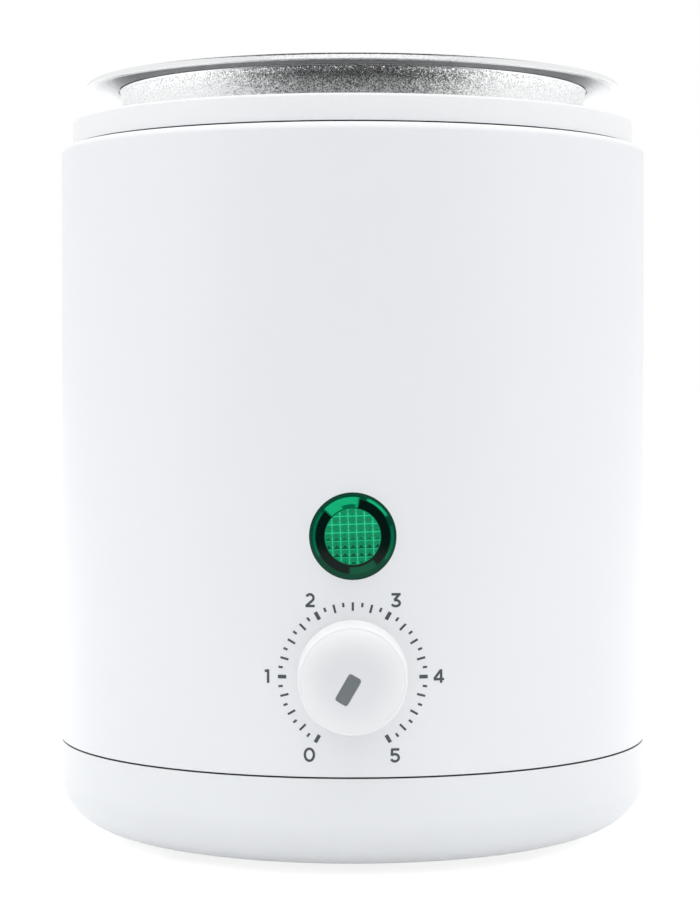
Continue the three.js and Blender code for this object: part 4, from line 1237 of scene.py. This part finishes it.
# %% Paint and build the lens
def green_glow(paint):
    """Describes the lens: a colour by its radius and angle, and by the slope of each pyramid."""
    x, _, z = paint.parts(paint.place())
    up = z - lamp_height
    radius = from_axis(x, up)

    def towards(start, end):
        """One in a sector between two angles, clockwise from the top, with soft edges."""
        middle, half = math.radians((start + end) / 2), math.radians((end - start) / 2)
        along = (x * math.sin(middle) + up * math.cos(middle)) / radius
        return along.ramp(math.cos(half + sliver_turn), math.cos(half - sliver_turn))

    c, s = math.cos(cell_turn), math.sin(cell_turn)
    across = (x * c + up * s + cell / 2).wrapped(cell) - cell / 2
    along = (up * c - x * s + cell / 2).wrapped(cell) - cell / 2
    lines = 1 - (cell / 2 - abs(across).most(abs(along))).ramp(*line_step)
    lower_side = (along + abs(across)).ramp(*crease_step)
    in_field = 1 - radius.ramp(*field_step)
    colour = paint.blend(radius.ramp(*ring_step), deep, ring)
    colour = paint.blend(1 - radius.ramp(*middle_step), colour, mid)
    colour = paint.blend(in_field * lines, colour, mint)
    colour = paint.blend(in_field * up.ramp(*row_step) * lower_side, colour, hollow)
    for start, end, inner, outer, light in slivers:
        patch = towards(start, end) * radius.within(inner, outer, sliver_blur)
        colour = paint.blend(patch, colour, light)
    for inner, outer, tone in rim_lines:
        colour = paint.blend(radius.ramp(inner, outer), colour, tone)
    return {"Base Color": colour, "Roughness": 0.16, "Specular IOR Level": 0.1}


lens_green = finish("lens_green", green_glow)
lamp_lens = new_piece(
    "lamp_button", to_front(lens_shape, lamp_height),
    "housing", lens_green, ["lamp_lens"],
)
pit = disc(field_radius, field_floor, lens_front + drill_out, round_sides)
carve(lamp_lens, [to_front(pit, lamp_height)])
dims_nothing(lamp_lens)
field = new_piece(
    "lamp_prisms", to_front(moved(prisms, turn=cell_turn), lamp_height),
    "housing", lens_green,
)
kept = disc(field_radius - hair, field_floor - drill_out, lens_front + drill_out, round_sides)
carve(field, [to_front(kept, lamp_height)], "INTERSECT")
report(lamp_lens)
report(field)

# %% [markdown]
# ## Feet, base screws and the cord gland
# These show from behind and from below. The feet are soft rubber with a dusty black skin, and
# the screws are zinc-plated with a cross recess. The gland is a nylon bush whose nose is fluted
# for the fingers. Each is a small turned profile, and the cross and the flutes are cut.

# %% Finishes of the small parts
bloom_scale, bloom_detail, bloom_step, skin_swing = 0.25, 4.0, (0.35, 0.75), 0.1
streak_scale, streak_swing, streak_depth, plate_cloud = 2.5, 0.15, 0.006, 0.35


def scuffed(colour, dust, roughness, depth, per_mm=1.5):
    """Describes rubber or nylon: a dark colour with a dusty bloom and a fine rough skin."""

    def describe(paint):
        place = paint.place()
        bloom = paint.noise(place, bloom_scale, bloom_detail, fractal[1])
        skin = paint.noise(place, per_mm, *fractal)
        return {
            "Base Color": paint.blend(bloom.ramp(*bloom_step), colour, dust),
            "Roughness": roughness + skin * skin_swing,
            "Normal": paint.bump(skin, depth),
        }

    return describe


def plated(colour, shade, roughness, stretch=(1, 1, 1)):
    """Describes bright or plated metal: faint streaks along one direction and cloudy plating."""

    def describe(paint):
        place = paint.place()
        stretched = [part * share for part, share in zip(paint.parts(place), stretch)]
        streaks = paint.noise(paint.vector(*stretched), streak_scale, *fractal)
        cloud = paint.noise(place, plate_cloud)
        return {
            "Base Color": paint.blend(cloud, colour, shade),
            "Metallic": 1.0,
            "Roughness": roughness + streaks * streak_swing,
            "Normal": paint.bump(streaks, streak_depth),
        }

    return describe


dusty_nylon = scuffed((0.018, 0.018, 0.019), (0.03, 0.03, 0.031), 0.45, 0.012)
zinc_plating = plated((0.58, 0.59, 0.60), (0.66, 0.67, 0.66), 0.25)
rubber = finish("foot_rubber", scuffed((0.02, 0.02, 0.021), (0.045, 0.045, 0.046), 0.75, 0.03))
nylon_black = finish("black_nylon", dusty_nylon)
zinc = finish("zinc_plate", zinc_plating)
print("small finishes made")

# %% Feet
dish_depth, dish_inner, dish_outer, foot_rounding = 0.15, 1.2, 1.0, 0.45
neck_radius, barb_radius, tip_radius = 2, 3, 2.25
foot_low, foot_high = span("rubber_foot_1")
foot_radius = (foot_high[0] - foot_low[0]) / 2
pad_top = base_bottom - fit_gap
head_bottom = floor_top + fit_gap
foot_profile = rounded([
    [0, dish_depth],
    [foot_radius - dish_inner, dish_depth],
    [foot_radius - dish_outer, 0, pressed_rounding],
    [foot_radius, 0, foot_rounding],
    [foot_radius, pad_top, foot_rounding],
    [neck_radius, pad_top, seam_rounding],
    [neck_radius, head_bottom],
    [barb_radius, head_bottom, crisp_rounding],
    [tip_radius, foot_high[2], seam_rounding],
    [0, foot_high[2]],
])
for i, spot in enumerate(foot_places):
    foot = new_piece(
        f"foot_{i + 1}", moved(turned(foot_profile, small_sides), *spot),
        "housing", rubber, [f"rubber_foot_{i + 1}"],
    )
report(foot)

# %% Base screws
head_radius, head_rounding = 3, 1.0
shank_radius, tip_end, tip_length = 1.5, 0.5, 1.2
cross_arm, cross_half, cross_depth, cross_start, cross_turn = 1.7, 0.32, 1.2, 1, 0.3
screw_bottom, screw_top = (corner[2] for corner in span("base_screw_1"))
screw_profile = rounded([
    [0, screw_bottom],
    [head_radius, screw_bottom, head_rounding],
    [head_radius, screw_bottom + head_height],
    [shank_radius, screw_bottom + head_height],
    [shank_radius, screw_top - tip_length],
    [tip_end, screw_top],
    [0, screw_top],
])
arm = slot_outline(2 * cross_arm, 2 * cross_half, pressed_rounding)
cross = pushed(arm, screw_bottom - cross_start, screw_bottom + cross_depth)
for i, spot in enumerate(screw_places):
    screw = new_piece(
        f"cross_screw_{i + 1}", moved(turned(screw_profile, small_sides), *spot),
        "housing", zinc, [f"base_screw_{i + 1}"],
    )
    for turn in (cross_turn + i, cross_turn + i + math.pi / 2):
        carve(screw, [moved(cross, *spot, turn=turn)])
report(screw)

# %% Cord gland
gland_bore, gland_thread, gland_flange, gland_nose = 3.9, 6.7, 9.0, 7.4
thread_rounding, nose_taper, flange_width = 0.4, 1, 2
flute_count, flute_sides, flute_radius, flute_reach = 16, 16, 0.55, 7.45
flute_start, flute_end = 0.6, 1
gland_start, gland_end = (corner[1] for corner in span("cord_gland"))
flange_front = body_radius + pad_proud + fit_gap
flange_back = flange_front + flange_width
gland_profile = rounded([
    [gland_bore, gland_start, seam_rounding],
    [gland_thread, gland_start, thread_rounding],
    [gland_thread, flange_front],
    [gland_flange, flange_front, crisp_rounding],
    [gland_flange, flange_back, inner_rounding],
    [gland_nose, flange_back, crisp_rounding],
    [gland_nose - nose_taper, gland_end, nose_taper],
    [gland_bore, gland_end, inner_rounding],
])
gland = new_piece(
    "gland_bush", to_rear(turned(gland_profile, round_sides), gland_height),
    "housing", nylon_black, ["cord_gland"],
)
angles = 2 * math.pi * np.arange(flute_count) / flute_count
ring_places = flute_reach * np.stack([np.cos(angles), np.sin(angles)], 1)
flute = (flute_radius, flange_back + flute_start, gland_end + flute_end, flute_sides)
carve(gland, [to_rear(groove, gland_height) for groove in bars(ring_places, *flute)])
report(gland)

# %% [markdown]
# ## Finishes of the inner pieces
# The pieces inside keep their CAD meshes, because their shapes are right and few will see them.
# Each record slot still gets a finish of its own, so that an exploded view reads as real parts:
# streaked sheet steel, heat-stained band, brass tabs, braided sleeves and coloured wires.

# %% Dress the inner pieces
heat_scale, stain_scale, smoke_scale = 0.06, 2.0, 0.4
blued, straw, bare_steel = (0.30, 0.31, 0.36), (0.46, 0.38, 0.27), (0.5, 0.5, 0.5)
straw_step, bare_step = (0.35, 0.55), (0.55, 0.75)


def stained(paint):
    """Describes a band heater's steel: blued and straw patches where it has been hot."""
    place = paint.place()
    heat = paint.noise(place, heat_scale, *fractal)
    streaks = paint.noise(place, stain_scale, fractal[0])
    warm = paint.blend(heat.ramp(*straw_step), blued, straw)
    return {
        "Base Color": paint.blend(heat.ramp(*bare_step), warm, bare_steel),
        "Metallic": 1.0,
        "Roughness": 0.35 + streaks * streak_swing,
        "Normal": paint.bump(streaks, streak_depth),
    }


def clear_glass(paint):
    """Describes the neon lamp's glass: thin, smooth and nearly clear, with a faint smoky blush."""
    smoke = paint.noise(paint.place(), smoke_scale)
    return {
        "Base Color": paint.blend(smoke, (0.9, 0.9, 0.88), (0.8, 0.74, 0.7)),
        "Roughness": 0.06,
        "Alpha": 0.3 + smoke * 0.15,
    }


inner_finishes = {
    "sheet_steel": plated((0.55, 0.56, 0.57), (0.62, 0.63, 0.64), 0.25, (0.2, 0.2, 2)),
    "zinc_steel": zinc_plating,
    "brass": plated((0.70, 0.53, 0.25), (0.62, 0.46, 0.21), 0.22, (2, 0.3, 2)),
    "copper": plated((0.72, 0.40, 0.25), (0.60, 0.31, 0.19), 0.25),
    "band_steel": stained,
    "silicone": scuffed((0.42, 0.07, 0.04), (0.5, 0.11, 0.07), 0.6, 0.02),
    "bakelite": scuffed((0.016, 0.015, 0.015), (0.035, 0.032, 0.03), 0.35, 0.01),
    "black_nylon": dusty_nylon,
    "pale_nylon": scuffed((0.66, 0.63, 0.55), (0.72, 0.70, 0.63), 0.45, 0.012),
    "clear_glass": clear_glass,
    "brown_wire": moulded((0.16, 0.055, 0.024), (0.14, 0.048, 0.02), 0.4, 0.01),
    "blue_wire": moulded((0.025, 0.10, 0.36), (0.02, 0.085, 0.32), 0.4, 0.01),
    "green_wire": moulded((0.16, 0.33, 0.03), (0.42, 0.40, 0.03), 0.4, 0.01),
    "cream_wire": scuffed((0.56, 0.51, 0.41), (0.64, 0.60, 0.50), 0.7, 0.06, 4.0),
}
slot_of = {part["node"]: part["material_slot"] for part in frame["record"]["subparts"]}
covered = {node for piece in dressed for node in piece.get("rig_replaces", [])}
shelf = {slot: finish(slot, describe) for slot, describe in inner_finishes.items()}
for name, node in frame["nodes"].items():
    if name in covered:
        continue
    node.data.materials.clear()
    node.data.materials.append(shelf[slot_of[name]])
print("CAD nodes dressed", len(frame["nodes"]) - len(covered), "new pieces", len(dressed))

# %% [markdown]
# ## Studio
# The object stands on a pale table in a white room. The room is white to the camera and in
# reflections, and dimmer as a light, so that colours render about as they are written. Large
# softboxes at the sides brighten the edges of the cylinder, and one hangs above. Bare metal only
# looks like metal where it has something dark to reflect. So dark and grey cards stand in front,
# on the table and overhead, with one bright panel, and show in reflections and nowhere else.

# %% Light the room
room_strength = 0.68
warmer_middle = (0, 0, 0.08)


def seen(paint):
    """One for rays that a viewer follows: straight, mirrored or through glass."""
    path = paint.node("ShaderNodeLightPath")
    kinds = ["Is Camera Ray", "Is Glossy Ray", "Is Transmission Ray"]
    camera_ray, glossy_ray, through_ray = [Field(paint, path.outputs[kind]) for kind in kinds]
    return camera_ray.most(glossy_ray).most(through_ray)


world = bpy.data.worlds.new("white_room")
bpy.context.scene.world = world
room = Paint(world)
strength = room_strength + seen(room) * (1 - room_strength)
background = room.node("ShaderNodeBackground", {}, {"Color": (1, 1, 1, 1), "Strength": strength})
room.node("ShaderNodeOutputWorld", {}, {"Surface": background.outputs[0]})


def facing_warmer(place):
    """The turn of a lamp that looks at the middle of the warmer: its lean, and its way round Z."""
    x, y, z = np.array(warmer_middle) - place
    return math.atan2(math.hypot(x, y), -z), 0, math.atan2(-x, y)


def softbox(name, place, size, radiance):
    """An area lamp whose brightness is given as seen, the same at any size."""
    lamp = bpy.data.lights.new(name, "AREA")
    lamp.shape = "RECTANGLE"
    lamp.size, lamp.size_y = size
    lamp.energy = radiance * math.pi * size[0] * size[1]
    light = bpy.data.objects.new(name, lamp)
    light.location = place
    light.rotation_euler = facing_warmer(place)
    light.visible_camera = False
    light.visible_glossy = False
    bpy.context.scene.collection.objects.link(light)


softbox("left_box", (-0.9, -0.15, 0.3), (1.0, 1.2), 0.33)
softbox("right_box", (0.9, -0.15, 0.3), (1.0, 1.2), 0.33)
softbox("left_rear_box", (-0.85, 0.35, 0.3), (1.0, 1.0), 0.19)
softbox("right_rear_box", (0.85, 0.35, 0.3), (1.0, 1.0), 0.19)
softbox("top_box", (0, -0.1, 0.95), (1.1, 1.1), 2.0)
print("lights", len(bpy.data.lights))

# %% Lay the table
table_size, table_glow, cloth_scale = 60.0, 0.8, 0.01
cloth_seen, cloth_light, cloth_shade = (0.85, 0.85, 0.86), (0.66,) * 3, (0.65,) * 3


def sheet_at(name, corners):
    """A flat four-sided sheet from its corners in metres."""
    mesh = bpy.data.meshes.new(name)
    mesh.from_pydata(corners, [], [[0, 1, 2, 3]])
    made = bpy.data.objects.new(name, mesh)
    bpy.context.scene.collection.objects.link(made)
    return made


table_material = bpy.data.materials.new("white_table")
paint = Paint(table_material)
viewed = seen(paint)
unseen = paint.blend(paint.noise(paint.place(), cloth_scale), cloth_light, cloth_shade)
cloth = paint.node("ShaderNodeBsdfDiffuse", {}, {"Color": paint.blend(viewed, cloth_seen, unseen)})
glow = paint.node("ShaderNodeEmission", {}, {"Color": (1, 1, 1, 1), "Strength": viewed * table_glow})
both = paint.node("ShaderNodeAddShader", {}, {0: cloth.outputs[0], 1: glow.outputs[0]})
paint.node("ShaderNodeOutputMaterial", {}, {"Surface": both.outputs[0]})
half = table_size / 2
table = sheet_at("table", [(-half, -half, 0), (half, -half, 0), (half, half, 0), (-half, half, 0)])
table.data.materials.append(table_material)
print("table", table_size, "m square")

# %% Hang the cards
card_width, card_near, card_far = 2.6, 0.3, 0.8
card_foot, card_top, upper_top = 0.012, 0.33, 0.78
ceiling_size, ceiling_height = 1.2, 0.9
panel_width, panel_near, panel_top, panel_lift = 1.6, 0.5, 0.9, 0.01
card_dark, upper_tone, panel_tone, card_pale = 0.045, 0.5, 1.3, 0.9
card_clear, panel_clear = 0.4, 0.5


def reflected_card(name, width, near, far, clear, tone=card_dark):
    """A card between two edges, each given by its place along Y and its height, that shows only
    in reflections. Its tone pales from a share of its half width, clear, to its ends."""
    half = width / 2
    material = bpy.data.materials.new(name)
    paint = Paint(material)
    aside = abs(paint.parts(paint.place())[0])
    paling = aside.ramp(half * clear / MM, half / MM)
    colour = paint.blend(paling, (tone,) * 3, (card_pale,) * 3)
    dim = paint.node("ShaderNodeEmission", {}, {"Color": colour, "Strength": 1.0})
    paint.node("ShaderNodeOutputMaterial", {}, {"Surface": dim.outputs[0]})
    card = sheet_at(name, [(half, *near), (-half, *near), (-half, *far), (half, *far)])
    card.data.materials.append(material)
    card.visible_camera = False
    dims_nothing(card)


front_foot, front_top = (-card_far, card_foot), (-card_far, card_top)
upper_end, panel_end = (-card_far, upper_top), (-card_far, upper_top + panel_lift)
ceiling = [(side * ceiling_size / 2, ceiling_height) for side in (1, -1)]
reflected_card("front_card", card_width, front_foot, front_top, card_clear)
reflected_card("upper_card", card_width, front_top, upper_end, card_clear, upper_tone)
reflected_card("floor_card", card_width, (-card_near, card_foot), front_foot, card_clear)
reflected_card("ceiling_card", ceiling_size, *ceiling, panel_clear)
panel_start = (-panel_near, panel_top)
reflected_card("bright_panel", panel_width, panel_start, panel_end, panel_clear, panel_tone)
print("materials", len(bpy.data.materials))

bpy.context.scene.view_settings.view_transform = "Standard"
